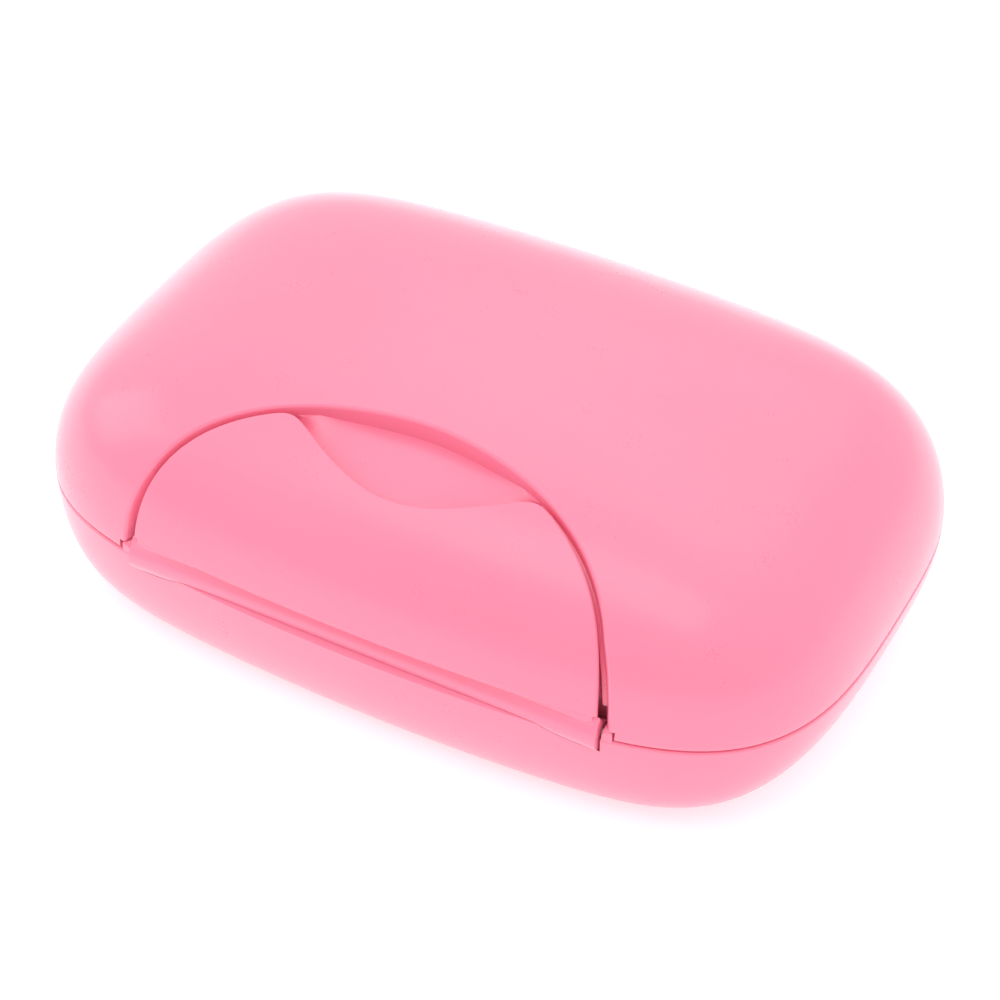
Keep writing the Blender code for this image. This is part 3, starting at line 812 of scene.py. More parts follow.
def side_normals(spots):
    """Unit normals on the right of a path in plan."""
    slopes = np.gradient(spots, axis=0)
    slopes /= np.linalg.norm(slopes, axis=1)[:, None]
    return np.stack([slopes[:, 1], -slopes[:, 0]], axis=1)


def spaced(path, step):
    """Even points along a path."""
    lengths = np.concatenate([[0], np.cumsum(np.linalg.norm(np.diff(path, axis=0), axis=1))])
    places = np.linspace(0, lengths[-1], int(lengths[-1] / step) + 1)
    return np.stack([np.interp(places, lengths, path[:, axis])
                     for axis in range(path.shape[1])], axis=1)


def bite_line(x):
    """Plan position of the flap's upper edge at each X."""
    clasp = settings("clasp")
    level = clasp.bite_inset - settings("form").width / 2
    spread = np.clip(1 - (x / clasp.bite_half) ** 2, 0, 1)
    return level - clasp.bite_depth * spread ** clasp.bite_power


def arch_line(x):
    """Plan position of the arch at each X."""
    clasp = settings("clasp")
    spread = np.clip(1 - np.abs(x / clasp.half_width) ** clasp.power, 0, 1)
    back = clasp.reach * spread ** (1 / clasp.power)
    return back - settings("form").width / 2 - clasp.root_outset


def flap_path(step=0.0001, bite_count=400):
    """Flap's edge in plan: up the right of the arch, over the finger bite and down the left."""
    clasp = settings("clasp")
    sides = arch(-clasp.gap)
    kept = sides[sides[:, 1] < bite_line(sides[:, 0])]
    right, left = kept[kept[:, 0] > 0], kept[kept[:, 0] < 0]
    x = np.linspace(right[-1][0], left[0][0], bite_count)[1:-1]
    path = spaced(np.concatenate([right, np.stack([x, bite_line(x)], axis=1), left]), step)
    reach = round(clasp.corner / step)
    span = 3 * reach
    weights = np.exp(-0.5 * (np.arange(-span, span + 1) / reach) ** 2)
    weights /= weights.sum()
    padded = np.pad(path, ((span, span), (0, 0)), mode="reflect", reflect_type="odd")
    return np.stack([np.convolve(padded[:, axis], weights, "valid") for axis in (0, 1)], axis=1)


def lifted(path, guide, inward, lowest=0.0002, spacing=0.00035):
    """Path laid on the outer form, with the form's normals and the wall's normals."""
    sides = side_normals(path) * (-1 if inward else 1)
    spots, firsts, seconds = [], [], []
    for (x, y), side in zip(path, sides):
        found = guide.above(x, y)
        if found is None or found[0].z < lowest:
            continue
        if spots and (found[0] - spots[-1]).length < spacing:
            continue
        spots.append(found[0])
        firsts.append(found[1])
        seconds.append(Vector((*side, 0)))
    return spots, firsts, seconds


def foot_line(guide, half, step=0.0005):
    """Flap's lower edge on the outer form, with the form's normals and the foot's normals."""
    spots, firsts = [], []
    for x in np.arange(-half, half, step):
        spot, _, cell, _ = guide.tree.ray_cast(Vector((x, -1, settings("clasp").foot)),
                                               Vector((0, 1, 0)))
        spots.append(spot)
        firsts.append(guide.normal(spot, cell))
    return spots, firsts, [Vector((0, 0, -1))] * len(spots)


def pocket_depths(patch):
    """Depth of the pocket's floor at each point of a patch: full under the flap, and behind
    the bite a scoop that runs out towards its ends."""
    clasp = settings("clasp")
    x, y = patch.spots[:, :, 0], patch.spots[:, :, 1]
    fade = np.clip(1 - np.abs(x / clasp.scoop_half) ** clasp.scoop_power, 0, 1)
    back, front = arch_line(x), bite_line(x)
    down = np.clip((back - y) / np.maximum(back - front, 2 * EDGE_STEP), 0, 1)
    scoop = clasp.scoop * fade
    return scoop + (clasp.pocket - scoop) * (down ** 2 * (3 - 2 * down))


# Shells


class Rim:
    """Outline of the parting plane, from which the rims' rings are stepped inward."""

    def __init__(self, spots, normals):
        self.spots, self.normals = spots, normals
        clasp, rim = settings("clasp"), settings("rim")
        flat = clasp.half_width - clasp.lip_end_gap + settings("hinge").seat_gap + clasp.ear_width
        run = np.clip((np.abs(spots[:, 0]) - flat) / rim.dent_run, 0, 1)
        self.dents = rim.dent_depth * (1 + np.cos(math.pi * run)) / 2 * (spots[:, 1] < 0)

    def ring(self, inset, z, dented):
        """Ring at one height, stepped inward."""
        depth = inset + (self.dents if dented else 0)
        ring = self.spots - self.normals * np.reshape(depth, (-1, 1))
        ring[:, 2] = z
        return ring

    def rings(self, corners, dented_from):
        """Rings down a rounded run of (inset, height, radius) corners."""
        return [self.ring(inset, z, inset > dented_from) for inset, z in eased(corners)]


def rings_of(grid):
    """Rings of a grid of points, from its lowest rise to its highest."""
    return list(grid.swapaxes(0, 1))


def groove_band(width):
    """Insets of the two sides of a band that lies on the middle of the seal groove."""
    middle = settings("rim").groove_inset
    return middle - width / 2, middle + width / 2


def base_rows(patch):
    """Rings of the base: bottom, outside, rim, groove, flange, inside and floor."""
    rim, form = settings("rim"), settings("form")
    outline = Rim(patch.spots[:, -1], patch.normals[:, -1])
    outer = rings_of(patch.spots)
    flat = outer[0].copy()
    flat[:, 2] = -form.base_height
    bottom = [flat * (s, s, 1) for s in (0.5, 0.97, 0.99)] + [flat]
    outer = [row for row in outer[1:] if row[0, 2] < -2 * rim.edge]
    near, far = groove_band(rim.groove_width)
    edge, soft = rim.edge, rim.edge / 2
    inner_edge = far + rim.land
    corners = [(0, -2 * edge, 0), (0, 0, edge), (near, 0, soft), (near, -rim.groove_depth, soft),
               (far, -rim.groove_depth, soft), (far, 0, soft), (inner_edge, 0, soft),
               (inner_edge, -rim.flange, 0)]
    rims = outline.rings(corners, 2 * edge)
    floor, *inner = rings_of(patch.inset(form.wall))
    inner = [row for row in inner[::-1] if row[0, 2] < -rim.flange - rim.slope]
    floor = floor.copy()
    floor[:, 2] = form.wall - form.base_height
    return bottom + outer + rims + inner + [floor, floor * (0.98, 0.98, 1), floor * (0.5, 0.5, 1)]


def lid_rows(patch):
    """Rings of the lid: inside, rim bead, tongue, rim and outside."""
    rim, form = settings("rim"), settings("form")
    outline = Rim(patch.spots[:, 0], patch.normals[:, 0])
    edge, soft = rim.edge, rim.edge / 2
    near, far = groove_band(rim.tongue_width)
    inner_edge = rim.groove_inset + rim.groove_width / 2 + rim.land
    corners = [(inner_edge, rim.bead, 0), (inner_edge, rim.gap, soft), (far, rim.gap, soft),
               (far, -rim.tongue_drop, soft), (near, -rim.tongue_drop, soft),
               (near, rim.gap, soft), (0, rim.gap, edge), (0, rim.gap + 2 * edge, 0)]
    rims = outline.rings(corners, 2 * edge)
    inner = rings_of(patch.inset(form.wall))[:0:-1]
    inner = [row for row in inner if row[0, 2] > rim.bead + rim.slope]
    outer = [row for row in rings_of(patch.spots) if row[0, 2] > rim.gap + 2 * edge]
    return inner + rims + outer


def notch_outline():
    """Trough under the clasp's hinge, with the slope that falls to the front."""
    clasp, axis = settings("clasp"), clasp_axis()
    back, floor = axis + clasp.eye_radius + clasp.run, -clasp.eye_radius - clasp.run
    trough = arc(axis, 0, clasp.lip_radius + clasp.lip_run, -clasp.lip_lower - clasp.swing,
                 -clasp.trough_stop, 40)
    y, z = trough[-1]
    out = (y - PAST * math.cos(clasp.trough_fall), z - PAST * math.sin(clasp.trough_fall))
    return [(back, PAST), (back, floor), *trough, out, (out[0], PAST)]


def middle_y():
    """Place of the body's middle along Y in the frame."""
    return HINGES["lid_hinge"][1] - lid_axis()


def lid_axis():
    """Lid hinge's place along Y, from the middle of the body."""
    return settings("form").width / 2 + settings("hinge").axis_outset


def clasp_axis():
    """Clasp hinge's place along Y, from the middle of the body."""
    return HINGES["clasp_hinge"][1] - middle_y()


def lip_half():
    """Middle to end of the clasp's hinge lip."""
    return settings("clasp").half_width - settings("clasp").lip_end_gap


def hinge_rod(name, side, radius):
    """Rod along one rear hinge, which cuts its room or its pin hole."""
    hinge = settings("hinge")
    half = hinge.lid_knuckle / 2 + hinge.base_knuckle + 2 * hinge.seat_gap
    return rod(name, *ends(side * hinge.station, -half, half), lid_axis(), 0, radius)


def hinge_room(name, side):
    """Room that both shells leave round one rear hinge."""
    return hinge_rod(name, side, settings("hinge").knuckle_radius + settings("clasp").run)


def ends(middle, near, far, side=1):
    """Left and right end of a bar, given from a middle towards one side."""
    return sorted((middle + side * near, middle + side * far))


def hole_radius(pin_box):
    """Radius of the hole for a pin of the frame."""
    return (pin_box[1].z - pin_box[0].z) / 2 + settings("hinge").pin_room


def knuckle(name, left, right, upward):
    """Hinge knuckle that grows out of its shell's rim on a web."""
    hinge, axis = settings("hinge"), lid_axis()
    radius, gap = hinge.knuckle_radius, settings("rim").gap + hinge.flat_step
    points = arc(axis, 0, radius, math.asin(gap / radius),
                 math.asin(hinge.web_height / radius) - math.tau, 48)
    root = axis - hinge.web_reach
    points += [(root, hinge.web_height), (root, gap)]
    if not upward:
        points = [(y, -z) for y, z in points]
    return bar(name, points, left, right, hinge.knuckle_edge)


# Pieces


def base_shell(coat):
    """Tub with rim flange, seal groove, clasp trough and ears, and rear knuckles."""
    clasp, hinge = settings("clasp"), settings("hinge")
    patch, front = half_form(False), front_patch()
    base = skin("soap_tub", base_rows(patch))
    axis, half = clasp_axis(), lip_half() + hinge.seat_gap
    combine(base, "DIFFERENCE", bar("trough", notch_outline(), -half, half),
            *[hinge_room("tub_hinge_room", side) for side in SIDES])
    near = hinge.lid_knuckle / 2 + hinge.seat_gap
    additions, holes = [], [hinge_rod("tub_pin_hole", side, hole_radius(LID_PIN))
                            for side in SIDES]
    for side in SIDES:
        ear = rod("clasp_ear", *ends(0, half + clasp.ear_step, half + clasp.ear_width, side),
                  axis, 0, clasp.ear_radius, hinge.pin_edge)
        form = slab("front_form", front.inset(clasp.ear_step), front.inset(DEEP))
        additions.append(combine(ear, "INTERSECT", form))
        for end in SIDES:
            knuckle_ends = ends(side * hinge.station, near, near + hinge.base_knuckle, end)
            additions.append(knuckle("tub_knuckle", *knuckle_ends, False))
        hole_ends = ends(0, half - hinge.seat_gap, half + clasp.ear_width - hinge.seat_gap, side)
        holes.append(rod("ear_hole", *hole_ends, axis, 0, hole_radius(CLASP_PIN)))
    combine(base, "UNION", *additions)
    combine(base, "DIFFERENCE", *holes)
    finish_piece(base, "base_shell", "base", coat, Guide(patch))


def lid_shell(coat):
    """Domed lid with the clasp's pocket and finger scoop, catch groove, tongue and knuckles."""
    clasp, hinge, form = settings("clasp"), settings("hinge"), settings("form")
    patch, front = half_form(True), front_patch()
    guide, axis = Guide(front), clasp_axis()
    lid = skin("soap_lid", lid_rows(patch))
    pad = slab("pocket_wall", front.inset(form.wall / 2),
               front.inset(clasp.pocket + clasp.pocket_wall))
    pad_path = spaced(arch(clasp.pad_margin, clasp.flare), 1.5 * OUTLINE_STEP)
    combine(pad, "INTERSECT", front_prism("pad_area", pad_path, settings("rim").bead / 2))
    combine(lid, "UNION", pad)
    path = arch(0, clasp.flare)
    beside = np.clip((np.abs(path[:, 0]) - clasp.bite_half) / clasp.shelf_run, 0, 1)
    inner = path - side_normals(path) * (clasp.shelf * beside)[:, None]
    shelf, pocket = [
        combine(front_prism(name, spaced(line, OUTLINE_STEP), -1.5 * PAST), "DIFFERENCE",
                slab(name + "_floor", front.inset(depth), front.inset(DEEP)))
        for name, line, depth in (("pocket_shelf", path, clasp.shelf_depth),
                                  ("pocket", inner, pocket_depths(front)))]
    half = lip_half() + hinge.seat_gap
    ahead, back = outer_room()[0], axis + clasp.eye_radius + clasp.run
    low, high = -1.25 * PAST, clasp.neck_top + clasp.run
    root = [(ahead, low), (back, low), (back, high), (ahead, high)]
    tools = [bar("root_room", root, -half, half), pocket, shelf]
    for side in SIDES:
        room_ends = ends(0, lip_half(), half + clasp.ear_width + clasp.run, side)
        tools.append(rod("ear_room", *room_ends, axis, 0, clasp.ear_radius + clasp.run))
        tools.append(hinge_room("lid_hinge_room", side))
    groove_half = clasp.catch_half + hinge.seat_gap
    tools.append(rod("catch_groove", -groove_half, groove_half, *catch_spot(guide),
                     clasp.catch_radius + clasp.catch_room))
    combine(lid, "DIFFERENCE", *tools)
    edge = lifted(spaced(path, EDGE_STEP), guide, True)
    combine(lid, "DIFFERENCE", edge_cutter("pocket_edge", *edge, clasp.pocket_edge))
    half = hinge.lid_knuckle / 2
    combine(lid, "UNION", *[knuckle("lid_knuckle", *ends(side * hinge.station, -half, half), True)
                            for side in SIDES])
    combine(lid, "DIFFERENCE", *[hinge_rod("lid_pin_hole", side, hole_radius(LID_PIN))
                                 for side in SIDES])
    finish_piece(lid, "lid_shell", "lid", coat, Guide(patch))


def catch_spot(guide):
    """Middle of the clasp's catch bead in Y and Z."""
    clasp = settings("clasp")

    def too_low(y):
        found = guide.above(0, y)
        return found is None or found[0].z < clasp.catch_height + clasp.catch_depth / 2

    spot, normal = guide.above(0, crossing(-settings("form").width / 2, 0, too_low, 30)[1])
    centre = spot - normal * clasp.catch_depth
    return centre.y, centre.z


def front_clasp(coat):
    """Arched flap with its finger bite, the straight hinge lip and the catch bead."""
    clasp, hinge = settings("clasp"), settings("hinge")
    front, axis, half = front_patch(), clasp_axis(), lip_half()
    guide, path = Guide(front), flap_path()
    flap = slab("soap_clasp", front.spots, front.inset(clasp.wall))
    combine(flap, "INTERSECT", front_prism("flap_area", spaced(path, OUTLINE_STEP), clasp.foot))
    edge = lifted(spaced(path, EDGE_STEP), guide, False, clasp.foot / 2)
    combine(flap, "DIFFERENCE", edge_cutter("flap_edge", *edge, clasp.edge))
    foot = foot_line(guide, clasp.half_width + clasp.edge)
    combine(flap, "DIFFERENCE", edge_cutter("foot_edge", *foot, clasp.foot_edge))
    form = slab("front_form", front.inset(clasp.neck_inset), front.inset(DEEP))
    neck = combine(bar("clasp_neck", neck_outline(), clasp.neck_end - half,
                       half - clasp.neck_end), "INTERSECT", form)
    lip = bar("clasp_lip", lip_outline(), -half, half, hinge.knuckle_edge)
    inner = CLASP_PIN[0].x - hinge.seat_gap
    combine(lip, "DIFFERENCE", *[rod("clasp_pin_hole", *ends(0, inner, half + PAST / 2, side),
                                     axis, 0, hole_radius(CLASP_PIN)) for side in SIDES])
    bead = rod("catch_bead", -clasp.catch_half, clasp.catch_half, *catch_spot(guide),
               clasp.catch_radius, hinge.pin_edge)
    combine(flap, "UNION", neck, lip, bead)
    finish_piece(flap, "front_clasp", "clasp", coat, guide)


def neck_outline():
    """Neck between the flap and its hinge lip, in Y and Z."""
    clasp, axis = settings("clasp"), clasp_axis()
    forward, up = math.cos(clasp.neck_sweep), math.sin(clasp.neck_sweep)
    back = axis - clasp.neck_back
    return [(axis - clasp.neck_root * forward, clasp.neck_root * up),
            (axis - clasp.neck_top / up * forward, clasp.neck_top), (back, clasp.neck_top),
            (back, clasp.eye_radius - settings("hinge").seat_gap)]


def lip_outline():
    """Hinge lip in Y and Z: round front, slope above it and round eye behind the pin."""
    clasp, axis = settings("clasp"), clasp_axis()
    lip = arc(axis, 0, clasp.lip_radius, -clasp.lip_lower, clasp.lip_upper, 32)
    y, z = lip[-1]
    lip.append((y + clasp.lip_rise * math.sin(clasp.lip_upper),
                z + clasp.lip_rise * math.cos(clasp.lip_upper)))
    return lip + arc(axis, 0, clasp.eye_radius, math.radians(90), math.radians(270), 32)


def finish_piece(item, node, body, coat, guide=None, placed=False):
    """Smooth a piece, place it, give it its material and let it stand for its node."""
    shade(item, guide)
    if not placed:
        item.data.transform(Matrix.Translation((0, middle_y(), PARTING_Z)))
    item.data.materials.clear()
    item.data.materials.append(coat)
    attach(item, body)
    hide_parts(node)


def shade(item, guide, angle=math.radians(38), reach=0.00001):
    """Smooth shading, with the guide's own normals wherever a face lies on its surface."""
    mesh = item.data
    mesh.shade_smooth()
    mesh.set_sharp_from_angle(angle=angle)
    if guide is None:
        return
    on_form = [guide.near(vertex.co, reach) for vertex in mesh.vertices]
    corners = [normal.vector.copy() for normal in mesh.corner_normals]
    for face in mesh.polygons:
        for loop in face.loop_indices:
            normal = on_form[mesh.loops[loop].vertex_index]
            if normal is not None and normal.dot(face.normal) > math.cos(angle):
                corners[loop] = normal
    mesh.normals_split_custom_set(corners)


def pin_tree(coat, steps=7):
    """Tree of a straight pin with eased ends, each rounded in some steps."""
    graph, given = new_tree("Hinge Pin", {name: ("Float", 0.001) for name in
                                          ("Left", "Right", "Y", "Z", "Radius", "Ease")})
    line = graph.add("GeometryNodeCurvePrimitiveLine", {"End": (1, 0, 0)})
    path = graph.add("GeometryNodeResampleCurve", {"Curve": line, "Count": 2 * steps})
    index = Term(graph, graph.add("GeometryNodeInputIndex"))
    angle = index.math("MINIMUM", 2 * steps - 1 - index) * (math.pi / 2 / (steps - 1))
    depth = given["Ease"] * (1 - angle.math("COSINE"))
    far_side = index > steps - 0.5
    x = given["Left"] + depth + far_side * (given["Right"] - given["Left"] - 2 * depth)
    radius = given["Radius"] - given["Ease"] * (1 - angle.math("SINE"))
    placed = graph.placed(path, x, given["Y"], given["Z"])
    return end_tree(graph, swept(graph, placed, radius, 48, True), coat)


def swept(graph, path, radius, sides, capped):
    """Round section run along a path with its own radius at each point."""
    section = graph.add("GeometryNodeCurvePrimitiveCircle", {"Resolution": sides, "Radius": 1})
    return graph.add("GeometryNodeCurveToMesh", {"Curve": path, "Profile Curve": section,
                                                 "Scale": radius, "Fill Caps": capped})


def hinge_pins(coat):
    """Four steel pins: two in the clasp's ends and one in each rear hinge."""
    hinge = settings("hinge")
    tree = pin_tree(coat)
    for node in ("clasp_hinge_pin_left", "clasp_hinge_pin_right",
                 "lid_hinge_pin_left", "lid_hinge_pin_right"):
        low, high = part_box(node)
        middle = (low + high) / 2
        pin = run_tree("steel_" + node, tree,
                       {"Left": low.x, "Right": high.x, "Y": middle.y, "Z": middle.z,
                        "Radius": (high.z - low.z) / 2, "Ease": hinge.pin_edge})
        finish_piece(pin, node, "base", coat, placed=True)


def seal_tree(coat):
    """Tree of a soft round ring along a closed path."""
    graph, given = new_tree("Seal Ring", {"Path": ("Geometry", None), "Radius": ("Float", 0.001)})
    path = graph.add("GeometryNodeMeshToCurve", {0: given["Path"]})
    return end_tree(graph, swept(graph, path, given["Radius"], 20, False), coat)


def seal_ring(coat):
    """Silicone ring that lies in the base's groove."""
    rim, patch = settings("rim"), half_form(False)
    z = rim.seal_rest - rim.groove_depth + rim.seal_width / 2
    ring = Rim(patch.spots[:, -1], patch.normals[:, -1]).ring(rim.groove_inset, z, True)
    count = len(ring)
    mesh = bpy.data.meshes.new("seal_path")
    mesh.from_pydata([tuple(spot) for spot in ring], [(i, (i + 1) % count) for i in range(count)],
                     [])
    seal = run_tree("silicone_seal", seal_tree(coat), {"Radius": rim.seal_width / 2}, mesh)
    finish_piece(seal, "seal_ring", "base", coat)


def plate_tree(coat):
    """Tree of the slotted plate with its raised border."""
    names = ["Half Length", "Half Width", "End Bow", "Side Bow", "Power X", "Power Y", "Border",
             "Low", "High", "Top", "Slot Width", "Slot Length", "Slot Pitch"]
    inputs = {name: ("Float", 0.01) for name in names}
    inputs.update({"Slots": ("Int", 9), "Columns": ("Int", 180)})
    graph, given = new_tree("Drain Plate", inputs)
    outline, inner = (plate_outline(graph, given, inset) for inset in (0, given["Border"]))
    slots = slot_row(graph, given)
    faces = [filled(graph, (outline, slots), given["Low"]),
             filled(graph, (inner, slots), given["High"]),
             filled(graph, (outline, inner), given["Top"]),
             walled(graph, outline, given["Low"], given["Top"]),
             walled(graph, inner, given["High"], given["Top"]),
             walled(graph, slots, given["Low"], given["High"])]
    merged = graph.add("GeometryNodeMergeByDistance",
                       {0: joined(graph, faces), "Distance": 0.000002})
    return end_tree(graph, merged, coat)


def plate_outline(graph, given, inset):
    """Bowed outline of the plate as a closed curve."""
    ring = graph.add("GeometryNodeCurvePrimitiveCircle",
                     {"Resolution": given["Columns"], "Radius": 1})
    across, along, _ = graph.axes(graph.add("GeometryNodeInputPosition"))
    u, v = bowed(given, across, along, given["Power X"], given["Power Y"])
    return graph.placed(ring, (given["Half Length"] - inset) * u,
                        (given["Half Width"] - inset) * v)


def slot_row(graph, given):
    """Row of drain slots with round ends, as closed curves."""
    width, pitch = given["Slot Width"], given["Slot Pitch"]
    square = graph.add("GeometryNodeCurvePrimitiveQuadrilateral",
                       {"Width": width, "Height": given["Slot Length"]})
    slot = graph.add("GeometryNodeFilletCurve",
                     {"Curve": square, "Radius": width * 0.4999, "Count": 8}, mode="POLY")
    row = graph.add("GeometryNodeMeshLine",
                    {"Count": given["Slots"], "Offset": graph.vector(pitch),
                     "Start Location": graph.vector((given["Slots"] - 1) * pitch * -0.5)})
    copies = graph.add("GeometryNodeInstanceOnPoints", {"Points": row, "Instance": slot})
    return graph.add("GeometryNodeRealizeInstances", {0: copies})


def joined(graph, parts):
    """Several geometries as one."""
    node = graph.tree.nodes.new("GeometryNodeJoinGeometry")
    for part in parts:
        graph.tree.links.new(part, node.inputs[0])
    return node.outputs[0]


def filled(graph, curves, height):
    """Flat face inside closed curves, with the inner ones as holes."""
    return graph.raised(graph.add("GeometryNodeFillCurve", {0: joined(graph, curves)}), height)


def walled(graph, curve, low, high):
    """Upright wall along closed curves."""
    edges = graph.raised(graph.add("GeometryNodeCurveToMesh", {"Curve": curve}), low)
    return graph.add("GeometryNodeExtrudeMesh",
                     {"Mesh": edges, "Offset": graph.vector(z=high - low), "Offset Scale": 1},
                     mode="EDGES")


def leg_tree(coat):
    """Tree of the tray's round legs on a grid."""
    names = ["Reach X", "Reach Y", "Radius", "Length", "Low"]
    graph, given = new_tree("Tray Legs", {name: ("Float", 0.01) for name in names})
    grid = graph.add("GeometryNodeMeshGrid",
                     {"Size X": given["Reach X"] * 2, "Size Y": given["Reach Y"] * 2,
                      "Vertices X": 3, "Vertices Y": 2})
    leg = graph.add("GeometryNodeMeshCylinder", {"Vertices": 40, "Radius": given["Radius"],
                                                 "Depth": given["Length"]})
    copies = graph.add("GeometryNodeInstanceOnPoints", {"Points": grid, "Instance": leg})
    return end_tree(graph, graph.raised(copies, given["Low"] + given["Length"] * 0.5), coat)


def drain_tray(coat):
    """Slotted plate with a raised border on six short legs."""
    tray, half = settings("tray"), (TRAY_HIGH - TRAY_LOW) / 2
    low = TRAY_LOW.z + tray.leg
    values = pebble_values()
    values.update({"Half Length": half.x, "Half Width": half.y, "Border": tray.border,
                   "Low": low, "High": low + tray.thickness, "Top": TRAY_HIGH.z,
                   "Slot Width": tray.slot_width, "Slot Length": 2 * (half.y - tray.slot_side),
                   "Slot Pitch": 2 * (half.x - tray.slot_end) / (tray.slots - 1),
                   "Slots": tray.slots, "Columns": quality(tray.columns)})
    plate = run_tree("tray_plate", plate_tree(coat), values)
    turn_outward(plate)
    legs = run_tree("tray_legs", leg_tree(coat),
                    {"Reach X": tray.leg_along * half.x, "Reach Y": tray.leg_across * half.y,
                     "Radius": tray.leg_radius, "Length": tray.leg + tray.thickness / 2,
                     "Low": TRAY_LOW.z})
    combine(plate, "UNION", legs)
    round_edges(plate, tray.edge, 3)
    bake(plate)
    plate.data.transform(Matrix.Translation((0, (TRAY_LOW.y + TRAY_HIGH.y) / 2, 0)))
    finish_piece(plate, "drain_tray", "base", coat, placed=True)


def turn_outward(item):
    """Make a closed mesh face outward all over."""
    form = bmesh.new()
    form.from_mesh(item.data)
    bmesh.ops.recalc_face_normals(form, faces=form.faces)
    form.to_mesh(item.data)
    form.free()


# Finishes


def new_material(name):
    """Empty Principled material: its graph and its shader."""
    material = bpy.data.materials.new(name)
    material.use_nodes = True
    return material, Graph(material.node_tree), material.node_tree.nodes["Principled BSDF"]


def noise(graph, scale, detail, stretch=(1, 1, 1)):
    """Noise on the piece's own coordinates."""
    place = graph.add("ShaderNodeTexCoord", output="Object")
    spread = graph.add("ShaderNodeMapping", {"Vector": place, "Scale": stretch})
    return Term(graph, graph.add("ShaderNodeTexNoise", {"Vector": spread, "Scale": scale,
                                                        "Detail": detail}))


def blended(graph, amount, first, second):
    """Colour between two others."""
    return graph.add("ShaderNodeMix", {0: amount, 6: (*first, 1), 7: (*second, 1)}, 2,
                     data_type="RGBA")


def raised_grain(graph, depth, height):
    """Normal of a surface with a fine relief."""
    return graph.add("ShaderNodeBump", {"Strength": 1, "Distance": depth, "Height": height})


def moulded(name, main, deeper, roughness, grain_size, grain_depth, fixed=None):
    """Moulded plastic: faint flow marks in the colour, uneven satin and a fine grain."""
    material, graph, shader = new_material(name)
    finish, fine = settings("finish"), 1 / grain_size
    coarse, coarse_share = 0.12 * fine, 0.7
    flow = noise(graph, finish.flow_marks, 3, finish.flow_stretch)
    satin = (noise(graph, finish.satin_marks, 4) * finish.satin_patchy
             + noise(graph, fine, 2) * finish.satin_fine)
    grain = noise(graph, fine, 3) + noise(graph, coarse, 2) * coarse_share
    even = roughness - (finish.satin_patchy + finish.satin_fine) / 2
    graph.feed(shader, {"Base Color": blended(graph, (flow - finish.flow_from) * 2, main, deeper),
                        "Roughness": satin + even,
                        "Normal": raised_grain(graph, grain_depth, grain), **(fixed or {})})
    return material


def steel(name, colour):
    """Drawn steel wire: fine lines round the pin and a few darker patches."""
    material, graph, shader = new_material(name)
    dulled, smoothest, unevenness, line_depth = 0.72, 0.18, 0.25, 0.000004
    patch, lines = noise(graph, 900, 4), noise(graph, 1500, 3, (9, 1, 1))
    darker = [part * dulled for part in colour]
    graph.feed(shader, {"Base Color": blended(graph, patch, colour, darker), "Metallic": 1,
                        "Roughness": patch * unevenness + smoothest,
                        "Normal": raised_grain(graph, line_depth, lines)})
    return material


def shell_coat():
    """Satin pink plastic of the shells and the clasp."""
    name, finish = "satin_pink_plastic", settings("finish")
    return bpy.data.materials.get(name) or moulded(
        name, finish.shell, finish.deep, roughness=0.30, grain_size=0.0003,
        grain_depth=0.0000025, fixed={
            "Subsurface Weight": 0.2, "Subsurface Scale": 0.0015,
            "Subsurface Radius": (1, 0.3, 0.35), "Coat Weight": 0.65, "Coat Roughness": 0.2,
            "Coat IOR": 1.5})


def silicone_coat():
    """Milky silicone of the seal ring."""
    colour = settings("finish").silicone
    return moulded("milky_silicone", colour, [c * 0.96 for c in colour], roughness=0.5,
                   grain_size=0.0002, grain_depth=0.000002, fixed={"Subsurface Weight": 0.2})


def tray_coat():
    """Paler pink plastic of the drain tray."""
    colour = settings("finish").tray
    return moulded("pale_pink_plastic", colour, [c * 0.97 for c in colour], roughness=0.42,
                   grain_size=0.00025, grain_depth=0.000003)


# Stage


def area_light(name, place, width, height, power):
    """Soft rectangular light aimed at the box."""
    data = bpy.data.lights.new(name, "AREA")
    data.shape = "RECTANGLE"
    data.size, data.size_y, data.energy = width, height, power
    light = link(bpy.data.objects.new(name, data))
    light.location = place
    back = Vector(place) - Vector((0, 0, settings("stage").aim))
    light.rotation_euler = (-back).to_track_quat("-Z", "Y").to_euler()


def stage_camera():
    """Camera at the photograph's angle."""
    stage = settings("stage")
    back = Vector((math.sin(stage.azimuth) * math.cos(stage.elevation),
                   -math.cos(stage.azimuth) * math.cos(stage.elevation),
                   math.sin(stage.elevation)))
    data = bpy.data.cameras.new("photo_camera")
    data.lens, data.sensor_width = stage.lens, stage.sensor
    data.shift_x, data.shift_y = stage.shift_x, stage.shift_y
    data.clip_start, data.clip_end = 0.01, 20
    camera = link(bpy.data.objects.new("photo_camera", data))
    camera.location = Vector((0, middle_y(), PARTING_Z)) + back * stage.distance
    camera.rotation_euler = back.to_track_quat("Z", "Y").to_euler()
    bpy.context.scene.camera = camera


def soft_room():
    """White room, a little brighter overhead and a little darker towards the front."""
    world = bpy.data.worlds.new("soft_room")
    world.use_nodes = True
    graph, stage = Graph(world.node_tree), settings("stage")
    _, back, overhead = graph.axes(graph.add("ShaderNodeTexCoord", output="Generated"))
    overhead, ahead = overhead.math("MAXIMUM", 0), (back * -1).math("MAXIMUM", 0)
    strength = overhead ** 2 * stage.room_top + stage.room - ahead * stage.room_front
    graph.feed(world.node_tree.nodes["Background"],
               {"Color": (1, 1, 1, 1), "Strength": strength})
    bpy.context.scene.world = world


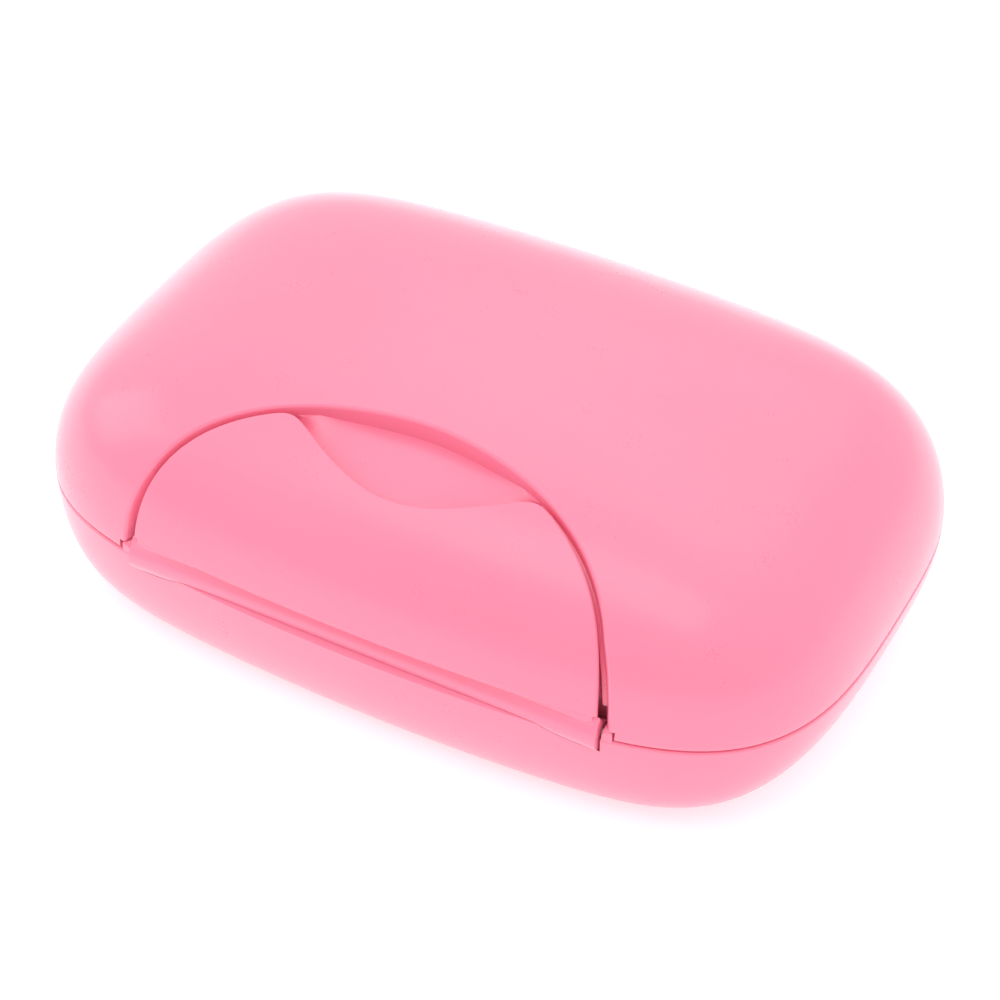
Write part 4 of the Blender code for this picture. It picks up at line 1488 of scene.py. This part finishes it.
def build_stage():
    """Pale floor, soft lights and the camera."""
    stage = settings("stage")
    reach = stage.floor_reach
    floor = solid("pale_floor", [(-reach, -reach, 0), (reach, -reach, 0), (reach, reach, 0),
                                 (-reach, reach, 0)], [(0, 1, 2, 3)])
    material, graph, shader = new_material("pale_floor")
    graph.feed(shader, {"Base Color": (*stage.floor, 1), "Emission Color": (1, 1, 1, 1),
                        "Emission Strength": stage.glow,
                        "Roughness": noise(graph, 6, 2) * 0.02 + 0.6})
    floor.data.materials.append(material)
    soft_room()
    for name, light in LIGHTS.items():
        area_light(name, *light)
    stage_camera()
    bpy.context.scene.view_settings.view_transform = "Standard"


# Operators and panel


class Step:
    """What the operators share: each runs its own make function."""

    def execute(self, context):
        self.make()
        return {"FINISHED"}


class SOAPBOX_OT_form(Step, bpy.types.Operator):
    """Make the tree of the pebble form that the shells are cut from"""

    bl_idname, bl_label = "soapbox.form", "Pebble form"

    def make(self):
        pebble_tree(shell_coat())


class SOAPBOX_OT_base(Step, bpy.types.Operator):
    """Make the base shell"""

    bl_idname, bl_label = "soapbox.base", "Base shell"

    def make(self):
        base_shell(shell_coat())


class SOAPBOX_OT_lid(Step, bpy.types.Operator):
    """Make the lid shell"""

    bl_idname, bl_label = "soapbox.lid", "Lid shell"

    def make(self):
        lid_shell(shell_coat())


class SOAPBOX_OT_clasp(Step, bpy.types.Operator):
    """Make the front clasp"""

    bl_idname, bl_label = "soapbox.clasp", "Front clasp"

    def make(self):
        front_clasp(shell_coat())


class SOAPBOX_OT_pins(Step, bpy.types.Operator):
    """Make the four hinge pins"""

    bl_idname, bl_label = "soapbox.pins", "Hinge pins"

    def make(self):
        hinge_pins(steel("bare_steel", settings("finish").steel))


class SOAPBOX_OT_seal(Step, bpy.types.Operator):
    """Make the seal ring"""

    bl_idname, bl_label = "soapbox.seal", "Seal ring"

    def make(self):
        seal_ring(silicone_coat())


class SOAPBOX_OT_tray(Step, bpy.types.Operator):
    """Make the drain tray"""

    bl_idname, bl_label = "soapbox.tray", "Drain tray"

    def make(self):
        drain_tray(tray_coat())


class SOAPBOX_OT_stage(Step, bpy.types.Operator):
    """Set the floor, the lights and the camera"""

    bl_idname, bl_label = "soapbox.stage", "Stage"

    def make(self):
        build_stage()


OPERATORS = (SOAPBOX_OT_form, SOAPBOX_OT_base, SOAPBOX_OT_lid, SOAPBOX_OT_clasp,
             SOAPBOX_OT_pins, SOAPBOX_OT_seal, SOAPBOX_OT_tray, SOAPBOX_OT_stage)


class SOAPBOX_PT_panel(bpy.types.Panel):
    """Sidebar panel with one button for each piece and its sizes"""

    bl_idname, bl_label = "SOAPBOX_PT_panel", "Soap Box"
    bl_space_type, bl_region_type, bl_category = "VIEW_3D", "UI", "Soap Box"

    def draw(self, context):
        for operator in OPERATORS:
            self.layout.operator(operator.bl_idname)
        for name, group in GROUPS.items():
            box = self.layout.box()
            for key in group.__annotations__:
                box.prop(getattr(context.scene, name), key,
                         text=key.replace("_", " ").capitalize())


def register():
    """Register the settings, the operators and the panel."""
    for name, group in GROUPS.items():
        bpy.utils.register_class(group)
        setattr(bpy.types.Scene, name, PointerProperty(type=group))
    for item in (*OPERATORS, SOAPBOX_PT_panel):
        bpy.utils.register_class(item)


def unregister():
    """Undo register."""
    for item in (SOAPBOX_PT_panel, *OPERATORS[::-1]):
        bpy.utils.unregister_class(item)
    for name, group in GROUPS.items():
        delattr(bpy.types.Scene, name)
        bpy.utils.unregister_class(group)


def main():
    """Make every piece and the stage."""
    register()
    for step in ("form", "base", "lid", "clasp", "pins", "seal", "tray", "stage"):
        getattr(bpy.ops.soapbox, step)()
    bpy.context.view_layer.update()


if __name__ == "__main__":
    main()
